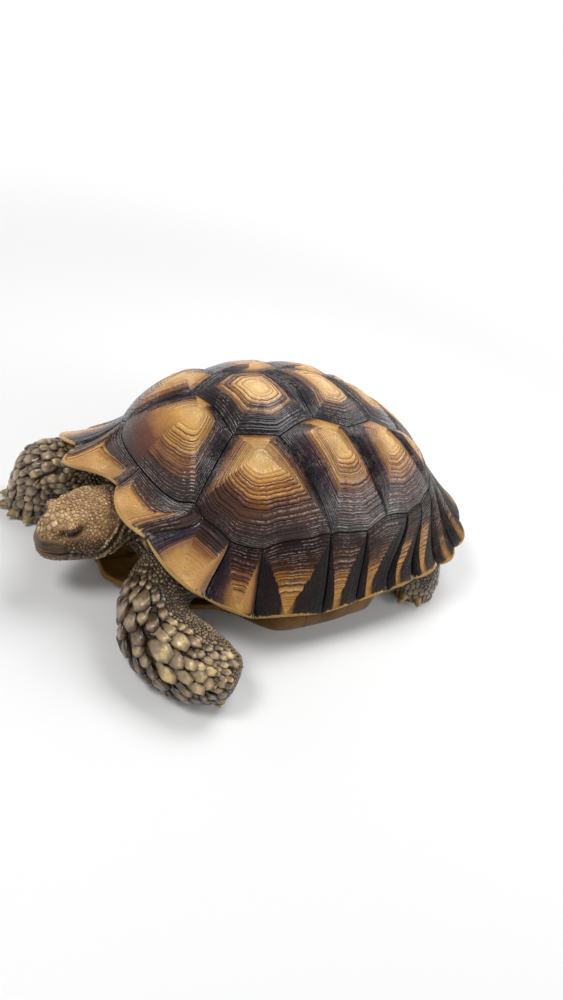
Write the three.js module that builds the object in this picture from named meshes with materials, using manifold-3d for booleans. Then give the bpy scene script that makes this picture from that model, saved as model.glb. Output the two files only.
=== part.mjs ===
// Sulcata tortoise at rest, life size, in millimetres. +Z is up, the head points to -Y, its left side is +X.
// The shell is a carapace of 36 separate scutes over a trunk, and a plastron below it.
import * as THREE from 'three';
import { mergeVertices } from 'three/addons/utils/BufferGeometryUtils.js';
import Module from 'manifold-3d';

const wasm = await Module();
wasm.setup();

// ---- driving dimensions ----

// The carapace's dome, from the crown down to the seam between the pleural and the marginal scutes.
// lean makes the left half a little higher than the right one, as old shells often are.
// The dome's middle is x = y = 0, and the plastron rests on z = 0.
const dome = {
  halfWidth: 138,
  front: 146,
  rear: 230,
  crown: 183,
  base: 54,
  planPower: 2.4,
  profilePower: 1.9,
  profileAtFront: 0.17,
  rearWidening: 0.3,
  seamAngle: 1.105,
  seamAngleAtSides: 0.042,
  lean: 0.045,
};

// The marginal seam isn't level: the first pleural hangs lowest, and the corners between pleurals ride up.
const seamWaves = [
  { at: 33, wide: 5, drop: -0.05 },
  { at: 56, wide: 11, drop: 0.085 },
  { at: 90, wide: 8, drop: -0.03 },
  { at: 121, wide: 8, drop: -0.04 },
];

// Scutes: keratin and bone together, raised at the areola and sunk at the seams.
const scute = {
  thickness: 5,
  seamSink: 2.2,
  vertebralRise: 4,
  pleuralRise: 3,
  areola: 0.28,
  flank: 0.66,
  flankRise: 0.38,
  lowerRing: 0.5,
  undersideRise: 0.5,
  gap: 0.32,
};
const fitGap = 0.3;
const wallGap = 0.6;

// The rim, at the seams between marginals: angle on the dome's seam, then x, y and z of the rim there.
const rimSeams = [
  { angle: 0, rim: [0, -144, 101] },
  { angle: 37.5, rim: [62, -149, 98] },
  { angle: 50, rim: [112, -115, 65] },
  { angle: 62, rim: [137, -76, 49] },
  { angle: 90, rim: [152, -6, 41] },
  { angle: 109, rim: [155, 34, 44] },
  { angle: 132, rim: [158, 72, 49] },
  { angle: 141, rim: [160, 104, 55] },
  { angle: 150, rim: [158, 138, 61] },
  { angle: 158, rim: [148, 174, 64] },
  { angle: 165, rim: [120, 212, 66] },
  { angle: 172, rim: [66, 240, 63] },
];
const rimRear = [0, 250, 55];
// How far each marginal's own edge stands out past the line between its seams, from front to rear.
const marginalTips = {
  left: [12, 9, 3, 1, 1, 1, 2, 4, 7, 9, 8],
  right: [25, 20, 6, 1, 1, 1, 2, 4, 7, 9, 8],
};
// An edge is an even bow at skew 1. The first one on the right is drawn to a point near its outer end.
const edgeShape = { skew: 1, roundness: 0.8 };
const firstEdgeShape = { left: edgeShape, right: { skew: 2, roundness: 1.15 } };
const supracaudalTip = 5;
const marginal = { lip: 3.4, rows: 3, seamPull: 0.9, rimPull: 0.6 };
// The point on the ground plan that every marginal's edge faces away from.
const planMiddle = new THREE.Vector3(0, 40, 0);
// How far the rim flares: 0 hangs straight down, 1 lies flat.
const flare = { front: 0.95, side: 0.08, rear: 0.75 };

// The plastron's left outline from the gular fork in front to the anal notch behind, round its own middle.
const plastronMiddle = 22;
const plastronOutline = [
  [0, -143],
  [17, -153],
  [32, -140],
  [58, -122],
  [78, -98],
  [88, -70],
  [104, -56],
  [141, -50],
  [150, -6],
  [153, 34],
  [155, 64],
  [112, 82],
  [90, 104],
  [84, 134],
  [64, 172],
  [38, 199],
  [0, 180],
];
const plastron = {
  thickness: 7,
  wingThickness: 16,
  wingSlope: 0.085,
  flatHalfWidth: 88,
  wingHalfWidth: 150,
  bridgeRise: 23,
  flatCentre: 0.45,
  flatShare: 0.8,
  edgeRise: 6,
};

// The head along its own axis from the neck: half width, and how far it reaches above and below the axis.
const headSections = [
  { along: 0, half: 26, top: 25, bottom: 27 },
  { along: 12, half: 30, top: 29.5, bottom: 28.5 },
  { along: 27, half: 29.5, top: 31, bottom: 27 },
  { along: 40, half: 25, top: 30.5, bottom: 24.5 },
  { along: 51, half: 20, top: 27, bottom: 22 },
  { along: 60, half: 15.5, top: 21, bottom: 19.5 },
  { along: 65.5, half: 10.5, top: 13, bottom: 16 },
];
const head = { at: [-1, -144, 64], yaw: 5.7, pitch: 5, sides: 20, backBulge: 5, snoutBulge: 2.5 };
const squareness = { limb: 0.88, head: 0.8 };
const mouth = { along: 25, height: -4, length: 70, width: 90, depth: 60 };
const eye = { radius: 6, along: 47, out: 14.8, up: 18.5, columns: 14, rows: 8 };
const neckStops = [
  { at: [0, -92, 74], wide: 31, high: 30 },
  { at: [-1, -122, 67], wide: 30, high: 29 },
  { at: [-2, -148, 63], wide: 27, high: 28 },
];
const tailStops = [
  { at: [0, 165, 50], wide: 18, high: 17 },
  { at: [0, 205, 40], wide: 14, high: 12 },
  { at: [0, 224, 28], wide: 10, high: 9 },
  { at: [0, 236, 18], wide: 5, high: 5 },
];
// The left forearm lies along the ground, its sole turned outwards and back.
const leftArmStops = [
  { at: [60, -84, 58], wide: 26, high: 30 },
  { at: [66, -112, 52], wide: 28, high: 29 },
  { at: [76, -133, 44], wide: 28, high: 30 },
  { at: [94, -144, 33], wide: 29, high: 32 },
  { at: [116, -144, 27], wide: 31, high: 33 },
  { at: [139, -135, 26], wide: 31, high: 33 },
  { at: [156, -125, 26], wide: 27, high: 31 },
  { at: [166, -118, 26], wide: 22, high: 28 },
];
// The right one stands on its sole.
const rightArmStops = [
  { at: [-60, -84, 60], wide: 26, high: 29 },
  { at: [-68, -112, 59], wide: 28, high: 28 },
  { at: [-82, -137, 55], wide: 28, high: 24 },
  { at: [-92, -153, 47], wide: 28, high: 26 },
  { at: [-95, -160, 26], wide: 28, high: 27 },
  { at: [-95, -161, -4], wide: 28, high: 27 },
];
const rearLegStops = [
  { at: [86, 110, 72], wide: 33, high: 34 },
  { at: [105, 130, 58], wide: 33, high: 33 },
  { at: [122, 146, 38], wide: 31, high: 32 },
  { at: [131, 152, 16], wide: 28, high: 29 },
  { at: [132, 153, -4], wide: 28, high: 28 },
];
const claws = {
  radius: 6.2,
  length: 15,
  root: 7,
  flatness: 0.75,
  droop: 1.6,
  sides: 6,
  waist: 0.62,
  outerSize: 0.8,
};
// Each foot's claws stand on an oval with the half axes forward and aside, and lean that way from it.
const clawRows = {
  front_leg_left: {
    at: [164, -118, 27],
    forward: [8, -15, 0],
    aside: [1, 0, 18],
    lean: [1.7, 0.9, 0],
    count: 5,
    spread: 85,
  },
  front_leg_right: {
    at: [-95, -161, 7],
    forward: [-5, -24, 0],
    aside: [-24, 5, 0],
    lean: [0, -0.7, -0.05],
    count: 5,
    spread: 62,
  },
  rear_leg_left: {
    at: [132, 153, 7],
    forward: [8, -25, 0],
    aside: [25, 8, 0],
    lean: [0, -0.5, -0.05],
    count: 4,
    spread: 50,
  },
};
clawRows.rear_leg_right = {
  ...clawRows.rear_leg_left,
  at: [-132, 153, 7],
  forward: [-8, -25, 0],
  aside: [-25, 8, 0],
};
// The skin that closes the shell's openings, and the seam angles between which the bridge does it instead.
const skinPocket = {
  front: 16,
  rear: 10,
  share: 0.45,
  inset: 0.88,
  closed: 0.96,
  bridgeFrom: 58,
  bridgeTo: 118,
  fade: 14,
};

// A limb's rounded end: how wide its last ring is, and how far along the cap it stands.
const limbCap = { share: 0.66, along: 0.75 };
const groundBlock = { side: 900, depth: 200 };

// ---- small tools ----

const degrees = Math.PI / 180;
const lerp = (a, b, t) => a + (b - a) * t;
const bump = (x, middle, width) => Math.exp(-(((x - middle) / width) ** 2));
const smooth = (t) => t * t * (3 - 2 * t);
const clamp01 = (t) => Math.min(1, Math.max(0, t));
// Keeps the sign of a cosine or sine and makes the oval that it draws a little squarer.
const squared = (t, power = squareness.limb) => Math.sign(t) * Math.abs(t) ** power;

// Vertices and faces of one closed body, gathered from strips and fans.
class Body {
  constructor() {
    this.points = [];
    this.faces = [];
  }

  add(point) {
    this.points.push(point);
    return this.points.length - 1;
  }

  ring(points) {
    return points.map((point) => this.add(point));
  }

  // Faces between two closed rings of equal count. turned makes them face the other way.
  bridge(lower, upper, turned = false) {
    const n = lower.length;
    for (let i = 0; i < n; i += 1) {
      const j = (i + 1) % n;
      const pair = [[lower[i], lower[j], upper[j]], [lower[i], upper[j], upper[i]]];
      this.faces.push(...(turned ? pair.map((face) => face.reverse()) : pair));
    }
  }

  // A skin over rings of equal count, closed at each end by a point.
  loft(first, rings, last) {
    const loops = rings.map((ring) => this.ring(ring));
    for (let i = 0; i + 1 < loops.length; i += 1) {
      this.bridge(loops[i], loops[i + 1]);
    }
    const [start, end] = [this.add(first), this.add(last)];
    const n = loops[0].length;
    for (let i = 0; i < n; i += 1) {
      const j = (i + 1) % n;
      this.faces.push([loops[0][j], loops[0][i], start]);
      this.faces.push([loops[loops.length - 1][i], loops[loops.length - 1][j], end]);
    }
    return this;
  }

  geometry() {
    const shape = new THREE.BufferGeometry();
    const numbers = this.points.flatMap((p) => p.toArray());
    shape.setAttribute('position', new THREE.Float32BufferAttribute(numbers, 3));
    shape.setIndex(this.faces.flat());
    return outward(mergeVertices(shape, 1e-3));
  }
}

function signedVolume(shape) {
  const at = shape.attributes.position;
  const index = shape.index.array;
  const [a, b, c] = [new THREE.Vector3(), new THREE.Vector3(), new THREE.Vector3()];
  let sum = 0;
  for (let i = 0; i < index.length; i += 3) {
    a.fromBufferAttribute(at, index[i]);
    b.fromBufferAttribute(at, index[i + 1]);
    c.fromBufferAttribute(at, index[i + 2]);
    sum += a.dot(b.cross(c)) / 6;
  }
  return sum;
}

// Turns every face round where the body came out inside out, and drops faces of no area.
function outward(shape) {
  const index = Array.from(shape.index.array);
  const kept = [];
  for (let i = 0; i < index.length; i += 3) {
    const [a, b, c] = index.slice(i, i + 3);
    if (a !== b && b !== c && c !== a) {
      kept.push(a, b, c);
    }
  }
  shape.setIndex(kept);
  if (signedVolume(shape) < 0) {
    const turned = [];
    for (let i = 0; i < kept.length; i += 3) {
      turned.push(kept[i], kept[i + 2], kept[i + 1]);
    }
    shape.setIndex(turned);
  }
  return shape;
}

function toSolid(shape) {
  const welded = shape.clone();
  welded.deleteAttribute('normal');
  welded.deleteAttribute('uv');
  const clean = mergeVertices(welded, 1e-4);
  return new wasm.Manifold(
    new wasm.Mesh({
      numProp: 3,
      vertProperties: new Float32Array(clean.attributes.position.array),
      triVerts: new Uint32Array(clean.index.array),
    }),
  );
}

function fromSolid(solid) {
  const mesh = solid.getMesh();
  const shape = new THREE.BufferGeometry();
  shape.setAttribute('position', new THREE.Float32BufferAttribute(mesh.vertProperties, 3));
  shape.setIndex(Array.from(mesh.triVerts));
  return shape;
}

// ---- the carapace's surface ----

// The angle from the crown to the marginal seam, in the direction phi: 0 is the front, 90 degrees the left.
const seamTheta = (phi) => dome.seamAngle - dome.seamAngleAtSides * Math.cos(2 * phi);

// A point of the dome. The chart is a disc: its middle is the crown, its edge the marginal seam.
function domeAt(chartX, chartY) {
  const rho = Math.hypot(chartX, chartY);
  const phi = Math.atan2(chartX, -chartY);
  const [dx, dy] = [Math.sin(phi), -Math.cos(phi)];
  const reach = dy < 0 ? dome.front : dome.rear;
  const n = dome.planPower;
  const plan = ((Math.abs(dx) / dome.halfWidth) ** n + (Math.abs(dy) / reach) ** n) ** (-1 / n);
  const theta = Math.max(rho, 1e-6) * seamTheta(phi);
  const e = dome.profilePower + dome.profileAtFront * Math.cos(phi);
  const scale = (Math.abs(Math.sin(theta)) ** e + Math.abs(Math.cos(theta)) ** e) ** (-1 / e);
  const out = plan * Math.sin(theta) * scale;
  const widening = 1 + (dome.rearWidening * out * dy) / dome.rear;
  const rise = Math.cos(theta) * scale;
  const across = out * dx * widening;
  const full = dome.crown - dome.base + dome.lean * across;
  return new THREE.Vector3(across, out * dy, dome.base + full * rise);
}

function domeNormal(chartX, chartY) {
  const step = 0.01;
  const alongX = domeAt(chartX + step, chartY).sub(domeAt(chartX - step, chartY));
  const alongY = domeAt(chartX, chartY + step).sub(domeAt(chartX, chartY - step));
  return alongX.cross(alongY).normalize();
}

const raised = ([x, y], height) => domeAt(x, y).addScaledVector(domeNormal(x, y), height);

// How far an angle of the seam is from the front, by either side, in degrees.
const fromFront = (angle) => Math.abs(angle > 180 ? angle - 360 : angle);

const seamRho = (angle) =>
  seamWaves.reduce((rho, { at, wide, drop }) => rho + drop * bump(fromFront(angle), at, wide), 1);

function seamChart(angle) {
  const phi = angle * degrees;
  const rho = seamRho(angle);
  return [rho * Math.sin(phi), -rho * Math.cos(phi)];
}

// ---- stations along the marginal seam ----

// Each marginal's stations, as angles on the left. The first marginal has one where the first pleural ends.
const leftStations = rimSeams.slice(0, -1).map((seam, k) => {
  const next = rimSeams[k + 1].angle;
  if (k === 0) {
    return [0, 13, 26, 33, next];
  }
  const count = next - seam.angle > 15 ? 4 : 2;
  return Array.from({ length: count + 1 }, (_, i) => lerp(seam.angle, next, i / count));
});
const lastSeam = rimSeams[rimSeams.length - 1];
const rearStations = [lastSeam.angle, 176, 180, 184, 360 - lastSeam.angle];

// A point of the rim: share runs from 0 to 1 between the seams of one marginal.
function rimBetween(from, to, share, tip, { skew, roundness } = edgeShape) {
  const a = new THREE.Vector3(...from);
  const b = new THREE.Vector3(...to);
  const onLine = a.clone().lerp(b, share);
  const outwards = new THREE.Vector3(b.y - a.y, a.x - b.x, 0).normalize();
  if (outwards.dot(onLine.clone().sub(planMiddle)) < 0) {
    outwards.negate();
  }
  return onLine.addScaledVector(outwards, tip * Math.sin(Math.PI * share ** skew) ** roundness);
}

// The marginal surface between the seam and the rim. down runs from 0 at the seam to 1 at the rim.
function marginalAt(angle, rim, down, depth = 0) {
  const chart = seamChart(angle);
  const top = raised(chart, -scute.seamSink);
  const seamNormal = domeNormal(...chart);
  const span = top.distanceTo(rim);
  const phi = angle * degrees;
  const side = new THREE.Vector3(Math.sin(phi), -Math.cos(phi), 0);
  const plane = seamNormal.clone().cross(new THREE.Vector3(0, 0, 1)).normalize();
  const slope = plane.clone().cross(seamNormal).normalize();
  if (slope.z > 0) {
    slope.negate();
  }
  const toRim = rim.clone().sub(top).normalize();
  const c = Math.cos(phi);
  const lie = c > 0 ? lerp(flare.side, flare.front, smooth(c)) : lerp(flare.side, flare.rear, smooth(-c));
  const edge = side.clone().multiplyScalar(lie).add(new THREE.Vector3(0, 0, -(1 - lie)));
  edge.addScaledVector(toRim, marginal.rimPull).normalize();
  const t = down;
  const h00 = 2 * t ** 3 - 3 * t ** 2 + 1;
  const h10 = t ** 3 - 2 * t ** 2 + t;
  const h01 = -2 * t ** 3 + 3 * t ** 2;
  const h11 = t ** 3 - t ** 2;
  const point = top
    .clone()
    .multiplyScalar(h00)
    .addScaledVector(slope, h10 * span * marginal.seamPull)
    .addScaledVector(rim, h01)
    .addScaledVector(edge, h11 * span * marginal.seamPull);
  if (depth === 0) {
    return point;
  }
  // Inwards: from the dome's own normal at the seam towards the edge's underside at the rim.
  const under = plane.clone().cross(edge).normalize();
  if (under.dot(seamNormal) < 0) {
    under.negate();
  }
  const inward = seamNormal.clone().lerp(under, t).normalize();
  return point.addScaledVector(inward, -depth);
}

// ---- scutes of the dome ----

// Where vertebral and pleural scutes meet on the left, in the chart.
const corners = {
  v1v2: [0.24, -0.43],
  v2side: [0.34, -0.19],
  v2v3: [0.25, 0.1],
  v3side: [0.27, 0.28],
  v3v4: [0.18, 0.43],
  v4side: [0.2, 0.59],
  v4v5: [0.16, 0.74],
};
// The seam angles where the pleurals and vertebrals end on the marginals.
const seamEnds = { v1p1: 33, p1p2: 90, p2p3: leftStations[5][2], p3p4: 150, p4v5: 165 };
const stepsPerEdge = 3;
const seamStops = [...new Set([...leftStations.flat(), ...rearStations.slice(0, 3)])].sort((a, b) => a - b);

// Chart points of the seam on the left, from one angle to another.
function seamRun(from, to) {
  const [low, high] = [Math.min(from, to), Math.max(from, to)];
  const run = seamStops.filter((angle) => angle >= low && angle <= high).map(seamChart);
  return from < to ? run : run.reverse();
}

const mirrorPoint = ([x, y]) => [-x, y];
const mirrorRun = (run) => run.map(mirrorPoint).reverse();
// A run that ends on the middle line, with its mirror image after it.
const acrossMiddle = (run) => [...run, ...mirrorRun(run).slice(1)];
// Runs of a left half, then the same of the right half.
const bothHalves = (runs) => [...runs, ...runs.map(mirrorRun).reverse()];
const betweenCharts = (from, to, t) => [lerp(from[0], to[0], t), lerp(from[1], to[1], t)];

// Joins runs of chart points into one outline that turns to the left, with straight edges cut into steps.
function chartOutline(runs) {
  const outline = runs.flatMap((run, r) => {
    const next = runs[(r + 1) % runs.length][0];
    const steps = Array.from({ length: stepsPerEdge - 1 }, (_, i) => (i + 1) / stepsPerEdge);
    return [...run, ...steps.map((t) => betweenCharts(run[run.length - 1], next, t))];
  });
  const area = outline.reduce((sum, [x, y], i) => {
    const [nextX, nextY] = outline[(i + 1) % outline.length];
    return sum + x * nextY - nextX * y;
  }, 0);
  return area > 0 ? outline : outline.reverse();
}

const { v1v2, v2side, v2v3, v3side, v3v4, v4side, v4v5 } = corners;
const frontArc = acrossMiddle(seamRun(seamEnds.v1p1, 0)).map(mirrorPoint);
const rearArc = acrossMiddle(seamRun(seamEnds.p4v5, 180));
const vertebrals = [
  { areola: [0, -0.56], runs: [[mirrorPoint(v1v2)], frontArc, [v1v2]] },
  { areola: [0, -0.13], runs: bothHalves([[v1v2], [v2side], [v2v3]]) },
  { areola: [0, 0.25], runs: bothHalves([[v2v3], [v3side], [v3v4]]) },
  { areola: [0, 0.57], runs: bothHalves([[v3v4], [v4side], [v4v5]]) },
  { areola: [0, 0.84], runs: [[v4v5], rearArc, [mirrorPoint(v4v5)]] },
];
const pleurals = [
  { areola: [0.41, -0.35], runs: [[v1v2], [v2side], seamRun(seamEnds.p1p2, seamEnds.v1p1)] },
  { areola: [0.38, 0.16], runs: [[v2side], [v2v3], [v3side], seamRun(seamEnds.p2p3, seamEnds.p1p2)] },
  { areola: [0.27, 0.48], runs: [[v3side], [v3v4], [v4side], seamRun(seamEnds.p3p4, seamEnds.p2p3)] },
  { areola: [0.25, 0.73], runs: [[v4side], [v4v5], seamRun(seamEnds.p4v5, seamEnds.p3p4)] },
];

// How high a scute's underside lies, from its growth centre at share 0 to its seam at 1.
const undersideHeight = (rise, share) =>
  scute.undersideRise * rise * (1 - share) - scute.seamSink - scute.thickness;

function scuteGeometry({ areola, runs }, rise) {
  const outline = chartOutline(runs).map((point) => {
    const reach = domeAt(...areola).distanceTo(domeAt(...point));
    return betweenCharts(areola, point, 1 - scute.gap / reach);
  });
  const ringAt = (share, height) =>
    outline.map((corner) => raised(betweenCharts(areola, corner, share), height));
  const rings = [
    ringAt(scute.lowerRing, undersideHeight(rise, scute.lowerRing)),
    ringAt(1, undersideHeight(rise, 1)),
    ringAt(1, -scute.seamSink),
    ringAt(scute.flank, rise * scute.flankRise),
    ringAt(scute.areola, rise),
  ];
  return new Body().loft(raised(areola, undersideHeight(rise, 0)), rings, raised(areola, rise)).geometry();
}

const mirrorScute = ({ areola, runs }) => ({
  areola: mirrorPoint(areola),
  runs: runs.map(mirrorRun).reverse(),
});

// ---- marginal scutes ----

// Every marginal's columns on the left: the seam angle of each, and the rim below it.
const marginalsWith = (tips, firstShape) =>
  leftStations.map((angles, k) =>
    angles.map((angle) => {
      const share = (angle - angles[0]) / (angles[angles.length - 1] - angles[0]);
      const shape = k === 0 ? firstShape : edgeShape;
      return { angle, rim: rimBetween(rimSeams[k].rim, rimSeams[k + 1].rim, share, tips[k], shape) };
    }),
  );
const mirrorColumn = ({ angle, rim }) => ({ angle: -angle, rim: new THREE.Vector3(-rim.x, rim.y, rim.z) });
const mirrorColumns = (columns) => columns.map(mirrorColumn).reverse();
const leftMarginals = marginalsWith(marginalTips.left, firstEdgeShape.left);
const rightMarginals = marginalsWith(marginalTips.right, firstEdgeShape.right).map(mirrorColumns);

const rearHalf = rearStations.slice(0, 3).map((angle) => {
  const share = (angle - lastSeam.angle) / (180 - lastSeam.angle);
  const rim = rimBetween(lastSeam.rim, rimRear, share, 0);
  rim.y += supracaudalTip * smooth(share);
  return { angle, rim };
});
const supracaudalColumns = [
  ...rearHalf,
  ...mirrorColumns(rearHalf).slice(1).map(({ angle, rim }) => ({ angle: angle + 360, rim })),
];

const wallThickness = (down) => lerp(scute.thickness, marginal.lip, down);
const rowShares = Array.from({ length: marginal.rows + 1 }, (_, j) => j / marginal.rows);
const nudge = (point, towards, distance) =>
  point.clone().addScaledVector(towards.clone().sub(point).normalize(), distance);

// Draws a grid in a little from its neighbours: at its first and last column, and at its top row.
function withGaps(grid) {
  const last = grid.length - 1;
  const narrowed = grid.map((column, i) => {
    const beside = i === 0 ? grid[1] : grid[last - 1];
    return i === 0 || i === last ? column.map((point, j) => nudge(point, beside[j], scute.gap)) : column;
  });
  return narrowed.map((column) => [nudge(column[0], column[1], scute.gap), ...column.slice(1)]);
}

function marginalGeometry(columns) {
  const columnAt = ({ angle, rim }, depthAt) =>
    rowShares.map((down) => marginalAt(angle, rim, down, depthAt(down)));
  const layer = (depthAt) => withGaps(columns.map((column) => columnAt(column, depthAt)));
  const outer = layer(() => 0);
  const inner = layer(wallThickness);
  const body = new Body();
  // Each ring goes down the outside of one column, round the lip and up the inside.
  const rings = columns.map((_, i) => body.ring([...outer[i], ...inner[i].reverse()]));
  for (let i = 0; i + 1 < rings.length; i += 1) {
    body.bridge(rings[i], rings[i + 1]);
  }
  const n = rings[0].length;
  for (let j = 0; j < marginal.rows; j += 1) {
    const across = n - 1 - j;
    const [first, last] = [rings[0], rings[rings.length - 1]];
    body.faces.push([first[j + 1], first[j], first[across]]);
    body.faces.push([first[j + 1], first[across], first[across - 1]]);
    body.faces.push([last[j], last[j + 1], last[across - 1]]);
    body.faces.push([last[j], last[across - 1], last[across]]);
  }
  return body.geometry();
}

// ---- plastron ----

const plastronPolar = plastronOutline.map(([x, y]) => ({
  angle: Math.atan2(x, plastronMiddle - y),
  reach: Math.hypot(x, plastronMiddle - y),
}));

// How far the plastron's edge is from its middle, in the direction of the angle from the front.
function plastronReach(angle) {
  const turn = Math.abs(Math.atan2(Math.sin(angle), Math.cos(angle)));
  const next = Math.max(1, plastronPolar.findIndex((point) => point.angle >= turn - 1e-6));
  const [a, b] = [plastronPolar[next - 1], plastronPolar[next]];
  return lerp(a.reach, b.reach, (turn - a.angle) / (b.angle - a.angle));
}

// A point of the plastron at a share of its reach: level is 0 on its underside and 1 on its upper side.
function plastronAt(angle, share, level, grow = 0) {
  const reach = plastronReach(angle) * share + grow;
  const [x, y] = [Math.sin(angle) * reach, plastronMiddle - Math.cos(angle) * reach];
  const { flatHalfWidth, wingHalfWidth } = plastron;
  const wing = clamp01((Math.abs(x) - flatHalfWidth) / (wingHalfWidth - flatHalfWidth));
  const edge = clamp01((share - plastron.flatShare) / (1 - plastron.flatShare));
  const z = plastron.bridgeRise * smooth(wing) + plastron.edgeRise * (1 - wing) * edge ** 2;
  const top = plastron.bridgeRise + plastron.wingThickness + plastron.wingSlope * Math.abs(y);
  const thickness = lerp(plastron.thickness, top - plastron.bridgeRise, smooth(wing));
  return new THREE.Vector3(x, y, z + level * thickness + grow * (2 * level - 1));
}

function plastronGeometry(grow = 0) {
  const left = plastronPolar.map(({ angle }) => angle);
  const angles = [...left, ...left.slice(1, -1).map((angle) => 2 * Math.PI - angle).reverse()];
  const ringAt = (share, level) => angles.map((angle) => plastronAt(angle, share, level, grow));
  const { flatShare, flatCentre } = plastron;
  const shares = [flatCentre, flatShare, 1];
  const underside = shares.map((share) => ringAt(share, 0));
  const upperSide = shares.map((share) => ringAt(share, 1)).reverse();
  const middle = (height) => new THREE.Vector3(0, plastronMiddle, height);
  return new Body()
    .loft(middle(-grow), [...underside, ...upperSide], middle(plastron.thickness + grow))
    .geometry();
}

// ---- flesh ----

const vector = ([x, y, z]) => new THREE.Vector3(x, y, z);

// A closed tube round a spine. Each stop says where it is and its half width and half height.
function limb(stops, { sides = 14, up = [0, 0, 1], grow = 0, roundStart = 0.5, roundEnd = 0.5 } = {}) {
  const spine = stops.map((stop) => vector(stop.at));
  const above = vector(up);
  const rings = spine.map((middle, i) => {
    const [before, after] = [spine[Math.max(i - 1, 0)], spine[Math.min(i + 1, spine.length - 1)]];
    const along = after.clone().sub(before).normalize();
    above.addScaledVector(along, -above.dot(along)).normalize();
    const across = above.clone().cross(along);
    const [wide, high] = [stops[i].wide + grow, stops[i].high + grow];
    const ringAt = (size, shift) =>
      Array.from({ length: sides }, (_, k) => {
        const angle = (2 * Math.PI * (k + 0.5)) / sides;
        return middle
          .clone()
          .addScaledVector(along, shift)
          .addScaledVector(across, size * wide * squared(Math.cos(angle)))
          .addScaledVector(above, size * high * squared(Math.sin(angle)));
      });
    return { middle, along, ringAt, size: Math.min(wide, high) };
  });
  const first = rings[0];
  const last = rings[rings.length - 1];
  const capAt = (ring, round, sign) => ({
    ring: ring.ringAt(limbCap.share, sign * ring.size * round * limbCap.along),
    tip: ring.middle.clone().addScaledVector(ring.along, sign * ring.size * round),
  });
  const start = capAt(first, roundStart, -1);
  const end = capAt(last, roundEnd, 1);
  return new Body()
    .loft(start.tip, [start.ring, ...rings.map(({ ringAt }) => ringAt(1, 0)), end.ring], end.tip)
    .geometry();
}

const { side: groundSide, depth: groundDepth } = groundBlock;
const groundBox = new THREE.BoxGeometry(groundSide, groundSide, groundDepth);
const ground = toSolid(groundBox.translate(0, 0, -groundDepth / 2));

// A claw is a blunt cone that droops a little.
function claw(base, direction, size) {
  const { radius, length, root, flatness, droop, sides, waist } = claws;
  const along = direction.clone().normalize();
  const across = along.clone().cross(new THREE.Vector3(0, 0, 1)).normalize();
  const above = across.clone().cross(along);
  const ringAt = (shift, share) =>
    Array.from({ length: sides }, (_, k) => {
      const angle = (2 * Math.PI * (k + 0.5)) / sides;
      return base
        .clone()
        .addScaledVector(along, shift * size)
        .addScaledVector(across, radius * share * size * Math.cos(angle))
        .addScaledVector(above, radius * share * size * flatness * Math.sin(angle));
    });
  const start = base.clone().addScaledVector(along, -root * size);
  const tip = base.clone().addScaledVector(along, length * size).addScaledVector(above, -droop * size);
  return toSolid(new Body().loft(start, [ringAt(0, 1), ringAt(length * waist, waist)], tip).geometry());
}

// A row of claws on an oval round the foot's middle: forward and aside are the oval's half axes.
function clawRow({ at, forward, aside, lean, count, spread }) {
  return Array.from({ length: count }, (_, i) => {
    const turn = lerp(-1, 1, i / (count - 1));
    const angle = turn * spread * degrees;
    const outwards = vector(forward)
      .multiplyScalar(Math.cos(angle))
      .addScaledVector(vector(aside), Math.sin(angle));
    const direction = outwards.clone().normalize().add(vector(lean));
    return claw(vector(at).add(outwards), direction, lerp(1, claws.outerSize, Math.abs(turn)));
  });
}

// The head round its own axis, which points along -Y, with the neck's end at the origin.
function headShape(grow = 0) {
  const rings = headSections.map(({ along, half, top, bottom }) =>
    Array.from({ length: head.sides }, (_, k) => {
      const angle = (2 * Math.PI * (k + 0.5)) / head.sides;
      const across = squared(Math.cos(angle), squareness.head);
      const upwards = squared(Math.sin(angle), squareness.head);
      const reach = upwards > 0 ? top : bottom;
      return new THREE.Vector3(across * (half + grow), -along, upwards * (reach + grow));
    }),
  );
  const front = headSections[headSections.length - 1];
  const back = new THREE.Vector3(0, head.backBulge + grow, 0);
  const snoutReach = front.along + head.snoutBulge + grow;
  const snout = new THREE.Vector3(0, -snoutReach, (front.top - front.bottom) / 2);
  return new Body().loft(back, rings, snout).geometry();
}

function placeHead(shape) {
  return shape
    .rotateX(head.pitch * degrees)
    .rotateZ(head.yaw * degrees)
    .translate(...head.at);
}

const headSolid = (grow) => toSolid(placeHead(headShape(grow)));

// The room of the lower jaw: everything under the mouth line, from its corner forwards.
function jawRoom(grow) {
  const { along, height, length, width, depth } = mouth;
  const box = new THREE.BoxGeometry(width, length + 2 * grow, depth + 2 * grow);
  return toSolid(placeHead(box.translate(0, -along - length / 2, height - depth / 2)));
}

function eyeball(side, grow = 0) {
  const ball = new THREE.SphereGeometry(eye.radius + grow, eye.columns, eye.rows);
  return placeHead(ball.translate(side * eye.out, -eye.along, eye.up));
}

// ---- trunk ----

// 1 where the shell's bridge closes the side, 0 at the openings for the head, legs and tail.
function bridgeShare(angle) {
  const turn = fromFront(angle);
  const { bridgeFrom, bridgeTo, fade } = skinPocket;
  return smooth(clamp01((turn - bridgeFrom) / fade + 0.5)) * smooth(clamp01((bridgeTo - turn) / fade + 0.5));
}

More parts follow.
